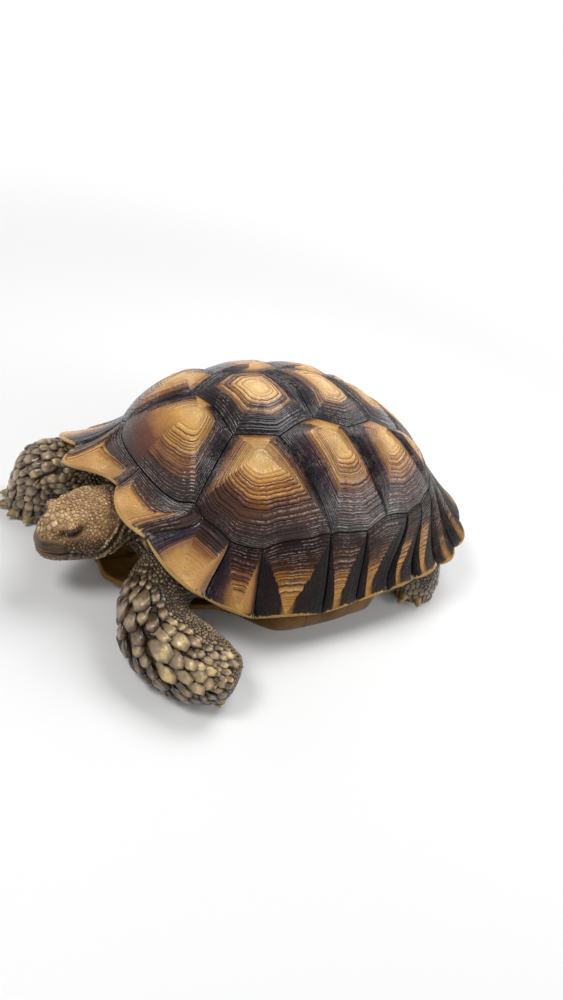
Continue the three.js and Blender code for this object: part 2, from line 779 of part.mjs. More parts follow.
function trunkGeometry() {
  const body = new Body();
  const allScutes = [...vertebrals, ...pleurals, ...pleurals.map(mirrorScute)];
  allScutes.forEach(({ areola, runs }, i) => {
    const rise = i < vertebrals.length ? scute.vertebralRise : scute.pleuralRise;
    const outline = chartOutline(runs);
    const ringAt = (share) =>
      body.ring(
        outline.map((corner) =>
          raised(betweenCharts(areola, corner, share), undersideHeight(rise, share) - fitGap),
        ),
      );
    const [edge, inner] = [ringAt(1), ringAt(scute.lowerRing)];
    const middle = body.add(raised(areola, undersideHeight(rise, 0) - fitGap));
    body.bridge(inner, edge, true);
    inner.forEach((index, k) => body.faces.push([index, inner[(k + 1) % inner.length], middle]));
  });
  // All columns of the rim once round, from the front by the left, the rear and the right.
  const left = leftMarginals.flatMap((columns) => columns.slice(0, -1));
  const right = [...rightMarginals].reverse().flatMap((columns) =>
    columns.slice(0, -1).map(({ angle, rim }) => ({ angle: angle + 360, rim })),
  );
  const round = [...left, ...supracaudalColumns.slice(0, -1), ...right];
  const clearance = (down) => wallThickness(down) + (down > 0 ? wallGap : fitGap);
  const walls = rowShares
    .slice(0, -1)
    .map((down) => round.map(({ angle, rim }) => marginalAt(angle, rim, down, clearance(down))));
  // Half way up the plastron's edge, in the direction of a point of the rim.
  const footOf = (rim, share) => plastronAt(Math.atan2(rim.x, plastronMiddle - rim.y), share, 0.5);
  const pocket = round.map(({ angle, rim }, i) => {
    const bridge = bridgeShare(angle);
    const closed = marginalAt(angle, rim, skinPocket.closed, clearance(1));
    const foot = footOf(rim, skinPocket.inset);
    const open = walls[walls.length - 1][i].clone().lerp(foot, skinPocket.share);
    const inwards = new THREE.Vector3(0, plastronMiddle, open.z).sub(open).normalize();
    open.addScaledVector(inwards, Math.cos(angle * degrees) > 0 ? skinPocket.front : skinPocket.rear);
    return open.lerp(closed, bridge);
  });
  const footShares = [plastron.flatCentre, skinPocket.inset];
  const feet = footShares.map((share) => round.map(({ rim }) => footOf(rim, share)));
  const rings = [...feet, pocket, ...walls.reverse()].map((ring) => body.ring(ring));
  for (let i = 0; i + 1 < rings.length; i += 1) {
    body.bridge(rings[i], rings[i + 1]);
  }
  const middle = body.add(new THREE.Vector3(0, plastronMiddle, plastron.thickness / 2));
  rings[0].forEach((index, k) => body.faces.push([rings[0][(k + 1) % rings[0].length], index, middle]));
  return body.geometry();
}

// ---- putting it together ----

const parts = new Map();
parts.set('plastron', plastronGeometry());
vertebrals.forEach((plan, i) => parts.set(`vertebral_${i + 1}`, scuteGeometry(plan, scute.vertebralRise)));
pleurals.forEach((plan, i) => {
  parts.set(`pleural_left_${i + 1}`, scuteGeometry(plan, scute.pleuralRise));
  parts.set(`pleural_right_${i + 1}`, scuteGeometry(mirrorScute(plan), scute.pleuralRise));
});
leftMarginals.forEach((columns, i) => {
  parts.set(`marginal_left_${i + 1}`, marginalGeometry(columns));
  parts.set(`marginal_right_${i + 1}`, marginalGeometry(rightMarginals[i]));
});
parts.set('supracaudal', marginalGeometry(supracaudalColumns));

const mirrorStops = (stops) => stops.map(({ at: [x, y, z], ...size }) => ({ at: [-x, y, z], ...size }));
const spines = {
  neck: neckStops,
  tail: tailStops,
  front_leg_left: leftArmStops,
  front_leg_right: rightArmStops,
  rear_leg_left: rearLegStops,
  rear_leg_right: mirrorStops(rearLegStops),
};
const plastronRoom = toSolid(plastronGeometry(fitGap));
let trunk = toSolid(trunkGeometry()).subtract(plastronRoom);
Object.entries(spines).forEach(([name, stops]) => {
  trunk = trunk.subtract(toSolid(limb(stops, { grow: fitGap })));
  const feet = clawRows[name] ? clawRow(clawRows[name]) : [];
  const whole = feet.reduce((flesh, nail) => flesh.add(nail), toSolid(limb(stops)));
  const solid = whole.subtract(ground).subtract(plastronRoom);
  parts.set(name, name === 'neck' ? solid.subtract(headSolid(fitGap)) : solid);
});
parts.set('trunk', trunk);

const wholeHead = headSolid(0);
const sockets = toSolid(eyeball(1, fitGap)).add(toSolid(eyeball(-1, fitGap)));
parts.set('jaw', wholeHead.intersect(jawRoom(0)));
parts.set('head', wholeHead.subtract(jawRoom(fitGap)).subtract(sockets));
parts.set('eye_left', eyeball(1));
parts.set('eye_right', eyeball(-1));

const finishes = {
  vertebral: { color: '#4d3a2c', roughness: 0.32 },
  pleural: { color: '#5c3f28', roughness: 0.32 },
  marginal: { color: '#a87a3c', roughness: 0.35 },
  supracaudal: { color: '#a87a3c', roughness: 0.35 },
  plastron: { color: '#b8914f', roughness: 0.45 },
  eye: { color: '#15100c', roughness: 0.08 },
  skin: { color: '#75684a', roughness: 0.65 },
};

const tortoise = new THREE.Group();
parts.forEach((shape, name) => {
  const finish = finishes[name.split('_')[0]] ?? finishes.skin;
  const mesh = new THREE.Mesh(
    shape.isBufferGeometry ? shape : fromSolid(shape),
    new THREE.MeshStandardMaterial({ ...finish, metalness: 0 }),
  );
  mesh.name = name;
  tortoise.add(mesh);
});

// The origin is the middle of the whole animal, on the ground.
const reach = new THREE.Box3().setFromObject(tortoise);
const middle = reach.getCenter(new THREE.Vector3());
tortoise.position.set(-middle.x, -middle.y, -reach.min.z);

export default tortoise;
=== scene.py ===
# Sulcata tortoise: growth-ringed shell, one skin with solid scales over it, beak, claws and eyes
import math

import bpy
import numpy as np
from mathutils import Matrix, Vector
from mathutils.bvhtree import BVHTree
from mathutils.kdtree import KDTree


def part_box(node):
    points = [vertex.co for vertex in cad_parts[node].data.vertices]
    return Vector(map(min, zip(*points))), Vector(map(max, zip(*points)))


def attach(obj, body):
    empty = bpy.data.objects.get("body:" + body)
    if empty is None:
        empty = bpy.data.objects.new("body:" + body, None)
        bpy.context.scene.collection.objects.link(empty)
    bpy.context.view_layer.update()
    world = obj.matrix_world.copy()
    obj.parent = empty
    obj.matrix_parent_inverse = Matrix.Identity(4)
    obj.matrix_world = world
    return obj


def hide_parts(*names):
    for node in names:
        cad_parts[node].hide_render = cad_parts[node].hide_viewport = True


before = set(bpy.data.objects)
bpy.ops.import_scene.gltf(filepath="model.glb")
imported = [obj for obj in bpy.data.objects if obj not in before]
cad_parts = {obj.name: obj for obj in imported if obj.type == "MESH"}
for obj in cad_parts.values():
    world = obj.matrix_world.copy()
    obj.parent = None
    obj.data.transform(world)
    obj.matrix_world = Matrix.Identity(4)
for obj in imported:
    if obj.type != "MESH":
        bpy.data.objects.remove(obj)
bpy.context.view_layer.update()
print("frame loaded:", len(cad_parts), "nodes")

# the shell's own frame: millimetres, crown over x = y = 0, plastron on z = 0
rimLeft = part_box("marginal_left_6")[1].x
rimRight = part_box("marginal_right_6")[0].x
rimReach = 0.255  # from the crown's middle back to the last rim point
shellMiddle = np.array([(rimLeft + rimRight) / 2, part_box("supracaudal")[1].y - rimReach, 0.0])


def toRow(points):
    return np.asarray(points, float) / 1000 + shellMiddle


# small tools

def smooth(t):
    t = np.clip(t, 0, 1)
    return t * t * (3 - 2 * t)


def bump(x, middle, width):
    return np.exp(-(((x - middle) / width) ** 2))


def unit(v):
    v = np.asarray(v, float)
    return v / np.maximum(np.linalg.norm(v, axis=-1, keepdims=True), 1e-12)


def lerp(a, b, t):
    return a + (b - a) * t


def shade(code):
    # a colour as it is seen, turned into the linear values that the shader takes
    channels = [int(code[i:i + 2], 16) / 255 for i in (1, 3, 5)]
    return [c / 12.92 if c <= 0.04045 else ((c + 0.055) / 1.055) ** 2.4 for c in channels] + [1]


def newObject(name, points, faceLists, floats=None):
    # points in the shell's frame; faceLists holds arrays of triangles or quads of a closed form
    mesh = bpy.data.meshes.new(name)
    sizes = np.concatenate([np.full(len(faces), faces.shape[1]) for faces in faceLists])
    corners = np.concatenate([faces.ravel() for faces in faceLists]).astype(np.int32)
    mesh.vertices.add(len(points))
    mesh.vertices.foreach_set("co", toRow(points).astype(np.float32).ravel())
    mesh.loops.add(len(corners))
    mesh.loops.foreach_set("vertex_index", corners)
    mesh.polygons.add(len(sizes))
    mesh.polygons.foreach_set("loop_start", np.concatenate([[0], np.cumsum(sizes)[:-1]]).astype(np.int32))
    mesh.polygons.foreach_set("use_smooth", np.ones(len(sizes), bool))
    mesh.update(calc_edges=True)
    mesh.validate()
    for key, values in (floats or {}).items():
        addFloat(mesh, key, values)
    if volume(points, faceLists) < 0:
        mesh.flip_normals()
    obj = bpy.data.objects.new(name, mesh)
    bpy.context.scene.collection.objects.link(obj)
    return obj


def addFloat(mesh, name, values):
    layer = mesh.attributes.new(name, "FLOAT", "POINT")
    layer.data.foreach_set("value", np.asarray(values, np.float32).ravel())


def volume(points, faceLists):
    # six times what the faces enclose, below zero where they look inwards
    total = 0
    for faces in faceLists:
        for k in range(1, faces.shape[1] - 1):
            a, b, d = (points[faces[:, i]] for i in (0, k, k + 1))
            total += np.sum(a * np.cross(b, d))
    return total


def gridQuads(rows, count, closed=True):
    # quads between rows of count points each, round a band or over a sheet
    i, j = np.meshgrid(np.arange(rows - 1), np.arange(count if closed else count - 1), indexing="ij")
    i, j = i.ravel(), j.ravel()
    k = (j + 1) % count
    return np.stack([i * count + j, i * count + k, (i + 1) * count + k, (i + 1) * count + j], 1)


def fan(start, count, middle, turned=False):
    ring = np.arange(start, start + count)
    faces = np.stack([ring, np.roll(ring, -1), np.full(count, middle)], 1)
    return faces[:, ::-1] if turned else faces


def closedFaces(rows, count):
    # rings of points after a first point and before a last one
    last = 1 + (rows - 1) * count
    return [gridQuads(rows, count) + 1, fan(1, count, 0, True), fan(last, count, last + count)]


def joined(forms):
    # many closed forms, each its points and its lists of faces, as one
    starts = np.cumsum([0] + [len(points) for points, _ in forms])
    faces = [f + start for (_, lists), start in zip(forms, starts) for f in lists]
    return np.concatenate([points for points, _ in forms]), faces


def roundRing(count):
    return np.linspace(0, 2 * np.pi, count, endpoint=False)


def dots(a, b):
    return np.einsum("...i,...i->...", a, b)


def place(obj, material, slotName, *nodes):
    obj.data.materials.append(material)
    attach(obj, "root")
    if nodes:
        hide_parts(*nodes)


# material tools

class Value:
    # a number or colour that nodes work out; sums and products of it add nodes
    def __init__(self, nodes, socket):
        self.nodes, self.socket = nodes, socket

    def __add__(self, other):
        return self.nodes.maths("ADD", self, other)

    def __sub__(self, other):
        return self.nodes.maths("SUBTRACT", self, other)

    def __rsub__(self, other):
        return self.nodes.maths("SUBTRACT", other, self)

    def __mul__(self, other):
        return self.nodes.maths("MULTIPLY", self, other)

    def larger(self, other):
        return self.nodes.maths("MAXIMUM", self, other)

    def ranged(self, low, high, toLow=0.0, toHigh=1.0):
        # the value's eased way from low to high, told as one from toLow to toHigh
        node = self.nodes.add("ShaderNodeMapRange", {"Value": self, "From Min": low, "From Max": high,
                                                     "To Min": toLow, "To Max": toHigh})
        node.interpolation_type = "SMOOTHSTEP"
        return Value(self.nodes, node.outputs["Result"])

    def ramp(self, stops):
        node = self.nodes.add("ShaderNodeValToRGB", {"Fac": self})
        elements = node.color_ramp.elements
        while len(elements) < len(stops):
            elements.new(0.5)
        for element, (at, code) in zip(elements, stops):
            element.position = at
            element.color = shade(code)
        return Value(self.nodes, node.outputs["Color"])

    def grey(self):
        node = self.nodes.add("ShaderNodeCombineColor", {"Red": self, "Green": self, "Blue": self})
        return Value(self.nodes, node.outputs["Color"])


class Nodes:
    # a node tree under way, of a material or of the sky
    def __init__(self, tree):
        self.tree = tree

    def put(self, socket, value):
        if isinstance(value, Value):
            self.tree.links.new(value.socket, socket)
        elif isinstance(value, bpy.types.NodeSocket):
            self.tree.links.new(value, socket)
        else:
            socket.default_value = value

    def add(self, kind, inputs):
        node = self.tree.nodes.new(kind)
        for key, value in inputs.items():
            self.put(node.inputs[key], value)
        return node

    def maths(self, operation, a, b):
        node = self.add("ShaderNodeMath", {0: a, 1: b})
        node.operation = operation
        return Value(self, node.outputs[0])

    def read(self, name):
        node = self.add("ShaderNodeAttribute", {})
        node.attribute_name = name
        return Value(self, node.outputs["Fac"])

    def grain(self, scale, detail=4.0, rough=0.55, stretch=None):
        coords = self.add("ShaderNodeTexCoord", {}).outputs["Object"]
        if stretch:
            coords = self.add("ShaderNodeMapping", {"Vector": coords, "Scale": stretch}).outputs["Vector"]
        node = self.add("ShaderNodeTexNoise", {"Vector": coords, "Scale": scale, "Detail": detail,
                                               "Roughness": rough})
        return Value(self, node.outputs["Fac"])

    def blend(self, share, a, b, mode="MIX"):
        # b laid over a; a plain colour is given by its code
        node = self.add("ShaderNodeMix", {})
        node.data_type = "RGBA"
        node.blend_type = mode
        for key, value in (("Factor", share), ("A", a), ("B", b)):
            self.put(node.inputs[key], shade(value) if isinstance(value, str) else value)
        return Value(self, node.outputs["Result"])

    def scaled(self, colour, level):
        # a colour made lighter or darker
        level = level.grey() if isinstance(level, Value) else [level, level, level, 1]
        return self.blend(1.0, colour, level, "MULTIPLY")


class Finish(Nodes):
    # a material under way
    def __init__(self, name, roughness, specular=0.5, coat=0.0, coatRoughness=0.2):
        self.material = bpy.data.materials.new(name)
        self.material.use_nodes = True
        super().__init__(self.material.node_tree)
        self.shader = self.tree.nodes["Principled BSDF"]
        for key, number in (("Roughness", roughness), ("Specular IOR Level", specular), ("Coat Weight", coat),
                            ("Coat Roughness", coatRoughness)):
            self.shader.inputs[key].default_value = number

    def colour(self, value):
        self.put(self.shader.inputs["Base Color"], value)

    def relief(self, height, distance, strength=1.0):
        node = self.add("ShaderNodeBump", {"Height": height, "Distance": distance, "Strength": strength})
        self.tree.links.new(node.outputs["Normal"], self.shader.inputs["Normal"])


# the carapace's surface

dome = {
    "halfWidth": 138, "front": 146, "rear": 230, "crown": 183, "base": 54,
    "planPower": 2.4, "profilePower": 1.9, "profileAtFront": 0.17, "rearWidening": 0.3,
    "seamAngle": 1.105, "seamAngleAtSides": 0.042, "lean": 0.045,
}
seamWaves = [(33, 5, -0.05), (56, 11, 0.085), (90, 8, -0.03), (121, 8, -0.04)]  # angle, width, drop
seamCusp = {"drop": 0.014, "width": 4.5}  # the seam dips where two marginals meet
# the marginals' seams: each one's angle from the front, and where it meets the rim
rimSeams = [
    (0, (0, -144, 101)), (37.5, (62, -149, 98)), (50, (112, -115, 65)), (62, (137, -76, 49)),
    (90, (152, -6, 41)), (109, (155, 34, 44)), (132, (158, 72, 49)), (141, (160, 104, 55)),
    (150, (158, 138, 61)), (158, (148, 174, 64)), (165, (120, 212, 66)), (172, (66, 240, 63)),
]
rimRear = (0, 250, 55)


def domeAt(x, y):
    rho = np.hypot(x, y)
    phi = np.arctan2(x, -y)
    dx, dy = np.sin(phi), -np.cos(phi)
    reach = np.where(dy < 0, dome["front"], dome["rear"])
    n = dome["planPower"]
    plan = ((np.abs(dx) / dome["halfWidth"]) ** n + (np.abs(dy) / reach) ** n) ** (-1 / n)
    theta = np.maximum(rho, 1e-6) * (dome["seamAngle"] - dome["seamAngleAtSides"] * np.cos(2 * phi))
    e = dome["profilePower"] + dome["profileAtFront"] * np.cos(phi)
    scale = (np.abs(np.sin(theta)) ** e + np.abs(np.cos(theta)) ** e) ** (-1 / e)
    out = plan * np.sin(theta) * scale
    across = out * dx * (1 + dome["rearWidening"] * out * dy / dome["rear"])
    full = dome["crown"] - dome["base"] + dome["lean"] * across
    return np.stack([across, out * dy, dome["base"] + full * np.cos(theta) * scale], -1)


def domeNormal(x, y):
    step = 0.01
    alongX = domeAt(x + step, y) - domeAt(x - step, y)
    alongY = domeAt(x, y + step) - domeAt(x, y - step)
    return unit(np.cross(alongX, alongY))


def fromFront(angle):
    angle = np.mod(angle, 360)
    return np.where(angle > 180, 360 - angle, angle)


def seamChart(angle):
    turn = fromFront(angle)
    rho = 1 + sum(drop * bump(turn, at, wide) for at, wide, drop in seamWaves)
    seams = np.array([angle for angle, _ in rimSeams[1:]])
    nearest = np.min(np.abs(np.asarray(turn)[..., None] - seams), -1)
    rho = rho + seamCusp["drop"] * np.clip(1 - nearest / seamCusp["width"], 0, 1)
    phi = np.radians(angle)
    return np.stack([rho * np.sin(phi), -rho * np.cos(phi)], -1)


# growth: rings about each scute's oldest field

growth = {
    "areola": 0.2,        # share of the scute that is the first, unringed field
    "spacing": 3.1,       # millimetres from ring to ring
    "uneven": 0.46,       # how much the rings' widths differ
    "depth": 0.78,        # of a groove
    "yearDepth": 1.9,     # a year's end is this much deeper
    "ringsPerYear": 4,
    "samples": ((0.0, 0.0), (0.24, 1.0), (0.66, 0.72)),  # places across a ring, and the height there
    "wander": 0.012,      # of a ring's course
    "rounding": 0.03,     # how far the inner rings' corners are rounded
    "softness": 9,        # how gently one side's colours pass into the next
    "pitch": 1.7,         # millimetres between points round the scute
    "seed": 11,
}
shell = {
    "thickness": 4.5, "seamSink": 2.2, "vertebralRise": 4, "pleuralRise": 3, "gap": 0.18,
    "seamRoll": 0.55, "seamRollFrom": 0.982,
}


def ringPlan(reach, rng, areola):
    # shares from the middle to the edge, with each sample's ridge height and its ring's tone
    count = max(6, int(reach * (1 - areola) / growth["spacing"]))
    widths = np.exp(rng.normal(0, growth["uneven"], count)) * np.linspace(1.12, 0.8, count)
    edges = areola + (1 - areola) * np.concatenate([[0], np.cumsum(widths) / widths.sum()])
    tones = rng.random(count)
    shares = [0.03, 0.08, 0.14] if areola > 0.17 else [0.03, 0.07]
    ridge, tone, deep = [1.0] * len(shares), [0.5] * len(shares), [0.2] * len(shares)
    for k in range(count):
        year = growth["yearDepth"] if k % growth["ringsPerYear"] == 0 else rng.uniform(0.6, 1.15)
        for part, height in growth["samples"]:
            shares.append(lerp(edges[k], edges[k + 1], part))
            ridge.append(height)
            tone.append(tones[k])
            deep.append(year)
    shares.append(1.0)
    ridge.append(0.4)
    tone.append(tones[-1])
    deep.append(1.0)
    return np.array(shares), np.array(ridge), np.array(tone), np.array(deep)


def wander(rng, rows, count):
    # slow waves round and across a scute, from -1 to 1
    turn = roundRing(count)[None]
    row = np.linspace(0, 1, rows)[:, None]
    field = np.zeros((rows, count))
    for wave in (3, 7, 12, 19, 31, 47):
        phase, drift = rng.uniform(0, 6.28), rng.uniform(-9, 9)
        field += np.sin(wave * turn + phase + drift * row) / wave ** 0.5
    return field / np.abs(field).max()


def resample(points, kinds, surface, pitch):
    # closed outline of corner runs into even steps along the surface, corners kept
    chart, labels = [], []
    for run, kind in zip(points, kinds):
        places = surface(run[:, 0], run[:, 1])
        steps = np.linalg.norm(np.diff(places, axis=0), axis=1)
        along = np.concatenate([[0], np.cumsum(steps)])
        count = max(2, int(round(along[-1] / pitch)))
        at = np.linspace(0, along[-1], count, endpoint=False)
        chart.append(np.stack([np.interp(at, along, run[:, axis]) for axis in (0, 1)], -1))
        labels += [kind] * count
    return np.concatenate(chart), labels


def melted(values, passes):
    for _ in range(passes):
        values = (np.roll(values, 1, 0) + 2 * values + np.roll(values, -1, 0)) / 4
    return values


def softSide(labels, kind):
    return melted(np.array([label == kind for label in labels], float), growth["softness"])


sideKinds = ("front", "rear", "top", "rim", "patch")


def growScute(name, areola, runs, kinds, surface, normal, envelope, underside, seed, sides, share):
    # one scute: rings of its outline drawn in towards the areola, then its edge and its underside
    rng = np.random.default_rng(growth["seed"] + seed)
    outline, labels = resample(runs, kinds, surface, growth["pitch"])
    area = np.sum(outline[:, 0] * np.roll(outline[:, 1], -1) - np.roll(outline[:, 0], -1) * outline[:, 1])
    if area < 0:
        outline, labels = outline[::-1], labels[::-1]
    middle = np.array(areola, float)
    edge = surface(outline[:, 0], outline[:, 1])
    centre = surface(middle[:1], middle[1:])[0]
    reach = np.linalg.norm(edge - centre, axis=1)
    outline = middle + (outline - middle) * (1 - shell["gap"] / reach)[:, None]
    shares, ridge, tone, deep = ringPlan(np.percentile(reach, 85), rng, share)
    count = len(outline)
    rows = len(shares)
    drift = wander(rng, rows, count)
    s = shares[:, None] + growth["wander"] * drift * smooth((shares - share) / 0.1)[:, None] \
        * smooth((1 - shares) / 0.05)[:, None]
    crisp = smooth(shares / 0.95)[:, None, None]
    inner = melted(outline - middle, int(2 * (growth["rounding"] * count) ** 2))
    chart = middle + lerp(inner[None], (outline - middle)[None], crisp) * s[..., None]
    weights = {kind: softSide(labels, kind) for kind in sideKinds}
    rough = 1 + sum(sides.get(kind, 0) * weights[kind] for kind in sideKinds)
    cut = growth["depth"] * deep[:, None] * (1 - ridge[:, None]) * rough[None] \
        * (0.8 + 0.35 * wander(rng, rows, count)) * smooth((shares - share + 0.08) / 0.12)[:, None]
    near = np.clip(reach / 14, 0.25, 1)[None]  # rings crowded on a short side are shallower
    lift = envelope(s, chart) - cut * near \
        + 0.25 * wander(rng, rows, count) * smooth(1.6 - 1.6 * shares)[:, None]
    x, y = chart[..., 0], chart[..., 1]
    top = surface(x, y) + normal(x, y) * lift[..., None]
    tip = surface(middle[:1], middle[1:]) + normal(middle[:1], middle[1:]) * envelope(0.0, middle)
    below = underside(outline, middle)
    points = np.concatenate([tip, top.reshape(-1, 3), *below])

    def spreadOut(grid):
        # a value for each top ring, carried on to the tip and the underside
        grid = np.broadcast_to(grid, (rows, count))
        return np.concatenate([grid[0, :1], grid.ravel(), np.tile(grid[-1], len(below) - 1), grid[-1, :1]])

    floats = {"growth": spreadOut(s), "ridge": spreadOut(ridge[:, None]), "tone": spreadOut(tone[:, None])}
    floats["growth"][0] = shares[0]
    floats["growth"][1 + rows * count:] = 1.2
    for kind in sideKinds:
        floats[kind] = spreadOut(weights[kind][None])
    return newObject(name, points, closedFaces(rows + len(below) - 1, count), floats)


corners = {
    "v1v2": (0.24, -0.43), "v2side": (0.34, -0.19), "v2v3": (0.25, 0.1), "v3side": (0.27, 0.28),
    "v3v4": (0.18, 0.43), "v4side": (0.2, 0.59), "v4v5": (0.16, 0.74),
}


def seamRun(start, end):
    angles = np.linspace(start, end, max(2, int(abs(end - start) * 1.5)))
    return seamChart(angles)


def line(a, b):
    return np.linspace(a, b, 12)


def mirrored(point):
    return (-point[0], point[1])


def closeRuns(stops):
    # stops are corners and seam runs in turn; a line joins whatever doesn't touch
    runs = []
    for k, stop in enumerate(stops):
        after = stops[(k + 1) % len(stops)]
        start = stop[-1] if isinstance(stop, np.ndarray) else stop
        end = after[0] if isinstance(after, np.ndarray) else after
        if isinstance(stop, np.ndarray):
            runs.append(stop)
        if not np.allclose(start, end):
            runs.append(line(start, end))
    return runs


def between(a, b, share):
    return tuple(lerp(np.array(a), np.array(b), share))


def crownPlan(along, front, side, rear):
    # a plate across the back, given by its corners on the left
    stops = [mirrored(front), front, side, rear, mirrored(rear), mirrored(side)]
    return (0, along), stops, ["front"] + ["rear"] * 5


def sidePlan(middle, upper, pale, angles):
    # only the part of the upper seam nearest the oldest field keeps its pale colour
    stops = [upper[0], between(*upper[:2], pale[0]), *upper[1:-1], between(*upper[-2:], pale[1]), upper[-1],
             seamRun(*angles)]
    return middle, stops, ["front"] + ["top"] * (len(upper) - 1) + ["rear", "rear", "low", "front"]


v1v2, v2side, v2v3, v3side, v3v4, v4side, v4v5 = corners.values()
nape = [between(mirrored(v1v2), v1v2, share) for share in (0.12, 0.45)]
vertebralPlans = [
    ((0, -0.53), [v1v2, seamRun(33, -2), seamRun(-2, -33), mirrored(v1v2), *nape],
     ["rear", "low", "patch", "rear", "rear", "top", "rear"]),
    crownPlan(-0.13, v1v2, v2side, v2v3),
    crownPlan(0.25, v2v3, v3side, v3v4),
    crownPlan(0.57, v3v4, v4side, v4v5),
    ((0, 0.84), [mirrored(v4v5), v4v5, seamRun(165, 195)], ["front", "front", "low", "front"]),
]
pleuralPlans = [
    sidePlan((0.41, -0.35), (v1v2, v2side), (0.06, 0.9), (90, 33)),
    sidePlan((0.38, 0.16), (v2side, v2v3, v3side), (0.6, 0.8), (120.5, 90)),
    sidePlan((0.27, 0.48), (v3side, v3v4, v4side), (0.4, 0.8), (150, 120.5)),
    sidePlan((0.25, 0.73), (v4side, v4v5), (0.2, 0.85), (165, 150)),
]


def domeScute(name, plan, rise, seed, sides):
    areola, stops, kinds = plan

    def envelope(s, chart):
        s = np.asarray(s, float)
        roll = shell["seamRoll"] * smooth((s - shell["seamRollFrom"]) / (1 - shell["seamRollFrom"]))
        return rise * (1 - smooth((s - 0.2) / 0.8)) - shell["seamSink"] * s ** 6 - roll

    def underside(outline, middle):
        low = -shell["seamSink"] - shell["thickness"]
        rings = [middle + (outline - middle) * share for share in (1, 0.5)] + [middle[None]]
        return [domeAt(*chart.T) + domeNormal(*chart.T) * (low + rise * up)
                for chart, up in zip(rings, (0, 0.25, 0.5))]

    return growScute(name, areola, closeRuns(stops), kinds, domeAt, domeNormal, envelope, underside, seed,
                     sides, growth["areola"])


def mirrorPlan(plan):
    areola, stops, kinds = plan
    turned = [stop * np.array([-1, 1]) if isinstance(stop, np.ndarray) else mirrored(stop) for stop in stops]
    return mirrored(areola), turned, kinds


def shellColours(finish, stops, ringsFrom, plainSides):
    # each side's colours from the oldest field outwards; a ring's own tone shifts it along them
    grown, tone = finish.read("growth"), finish.read("tone") - 0.5
    drift = (finish.grain(55, 5) - 0.5) * 0.24
    plain = (finish.read("rim") * 0.8).larger(finish.read("patch"))
    plain = plain.larger((finish.read("front") + finish.read("rear")) * plainSides)
    ringed = grown.ranged(ringsFrom, ringsFrom + 0.18) * (1.0 - plain)
    grown = grown + drift + tone * 0.2 * ringed
    colour = grown.ramp(stops["low"])
    # the border between two sides is ragged: each ring crosses it at its own place
    ragged = (finish.grain(110, 4) - 0.5) * 1.5 + tone * 0.35
    for kind in sideKinds:
        if kind in stops:
            side = finish.read(kind)
            share = (side + ragged).ranged(0.35, 0.65) * side.ranged(0.02, 0.1)
            colour = finish.blend(share, colour, grown.ramp(stops[kind]))
    return colour, ringed


wetGloss = (0.22, 0.34)  # specular level and coat
dullGloss = (0.1, 0.08)  # the rim's sides are less wet
# how dark the grooves are painted as shade, how far the crests are lightened as painted highlight, and how strong
# the painted glints are
horn = {"groove": 0.95, "roughness": 0.25, "crestPaleAndHighlightGain": 1.75, "glints": 1.3}


def keratin(name, stops, crestPaleAndHighlight=0.6, gloss=wetGloss, ringsFrom=0.16, plainSides=0.0):
    # horn with darker grooves and paler crests, the grooves deepened with painted shade and the crests lifted
    # with painted highlight, painted glints here and there, and a wet gloss
    finish = Finish(name, horn["roughness"], *gloss, 0.07)
    colour, ringed = shellColours(finish, stops, ringsFrom, plainSides)
    height = finish.read("ridge")
    broken = ringed * finish.grain(240, 3).ranged(0.3, 0.6, 0.5, 1.0)
    grooveDarkAndShade = height.ranged(0.0, 0.66, 1.0, 0.0) * broken
    crown = height.ranged(0.72, 1.0) * broken
    # the crests' paler horn, lightened further as painted highlight
    colour = finish.blend(crown * crestPaleAndHighlight, colour, finish.scaled(colour, horn["crestPaleAndHighlightGain"]))
    # painted glints: crests painted as if they caught the light, here and there
    paintedGlints = finish.grain(42, 3).ranged(0.42, 0.58) * finish.grain(420, 2).ranged(0.4, 0.56)
    paintedGlints = paintedGlints * (crown * (crestPaleAndHighlight * horn["glints"]))
    colour = finish.blend(paintedGlints, colour, finish.blend(1.0, colour, "#b0a09a", "SCREEN"))
    # the grooves' darker horn, darkened nearly to black as painted shade
    colour = finish.blend(grooveDarkAndShade * horn["groove"], colour, "#0c0402")
    clouds = finish.grain(30, 4).ranged(0.3, 0.7, 0.8, 1.14)
    finish.colour(finish.scaled(colour, finish.grain(900, 4, 0.7).ranged(0.35, 0.7, 0.84, 1.12) * clouds))
    uneven = finish.grain(300, 4).ranged(0.3, 0.7, horn["roughness"] - 0.08, horn["roughness"] + 0.14)
    finish.put(finish.shader.inputs["Roughness"], uneven)
    finish.relief(finish.grain(1500, 5, 0.65) + finish.grain(380, 3) * 1.5, 0.0003, 0.6)
    return finish.material


# the dark side colours of these dome scutes lean to purple as a painted reflection of the sky
pleuralKeratin = keratin("sideScuteKeratin", {
    "low": [(0.0, "#dcb67f"), (0.2, "#cfa263"), (0.34, "#ab783e"), (0.48, "#7c4c28"), (0.6, "#4a2716"),
            (0.8, "#331610"), (1.0, "#24100c")],
    "top": [(0.0, "#dcb67f"), (0.75, "#c4924f"), (1.0, "#6e4526")],
    "front": [(0.0, "#d3aa6e"), (0.38, "#b4854e"), (0.52, "#7a5038"), (0.64, "#43292b"), (0.82, "#281a22"),
              (1.0, "#140d13")],
    "rear": [(0.0, "#cfa66c"), (0.38, "#ab7d4b"), (0.52, "#644432"), (0.64, "#291d21"), (1.0, "#120e13")],
})
firstPleuralKeratin = keratin("firstSideScuteKeratin", {
    "low": [(0.0, "#e0bb84"), (0.2, "#cfa163"), (0.36, "#a9763d"), (0.52, "#7f4e29"), (0.66, "#4b2817"),
            (0.82, "#351710"), (1.0, "#26100c")],
    "top": [(0.0, "#e0bb84"), (0.75, "#c4924f"), (1.0, "#6e4526")],
    "front": [(0.0, "#d9b177"), (0.48, "#bf8f52"), (0.66, "#93623a"), (0.79, "#5b3624"), (0.9, "#341d1a"),
              (1.0, "#190e10")],
    "rear": [(0.0, "#cfa66c"), (0.42, "#b38450"), (0.6, "#744d33"), (0.72, "#30201f"), (1.0, "#120e13")],
})
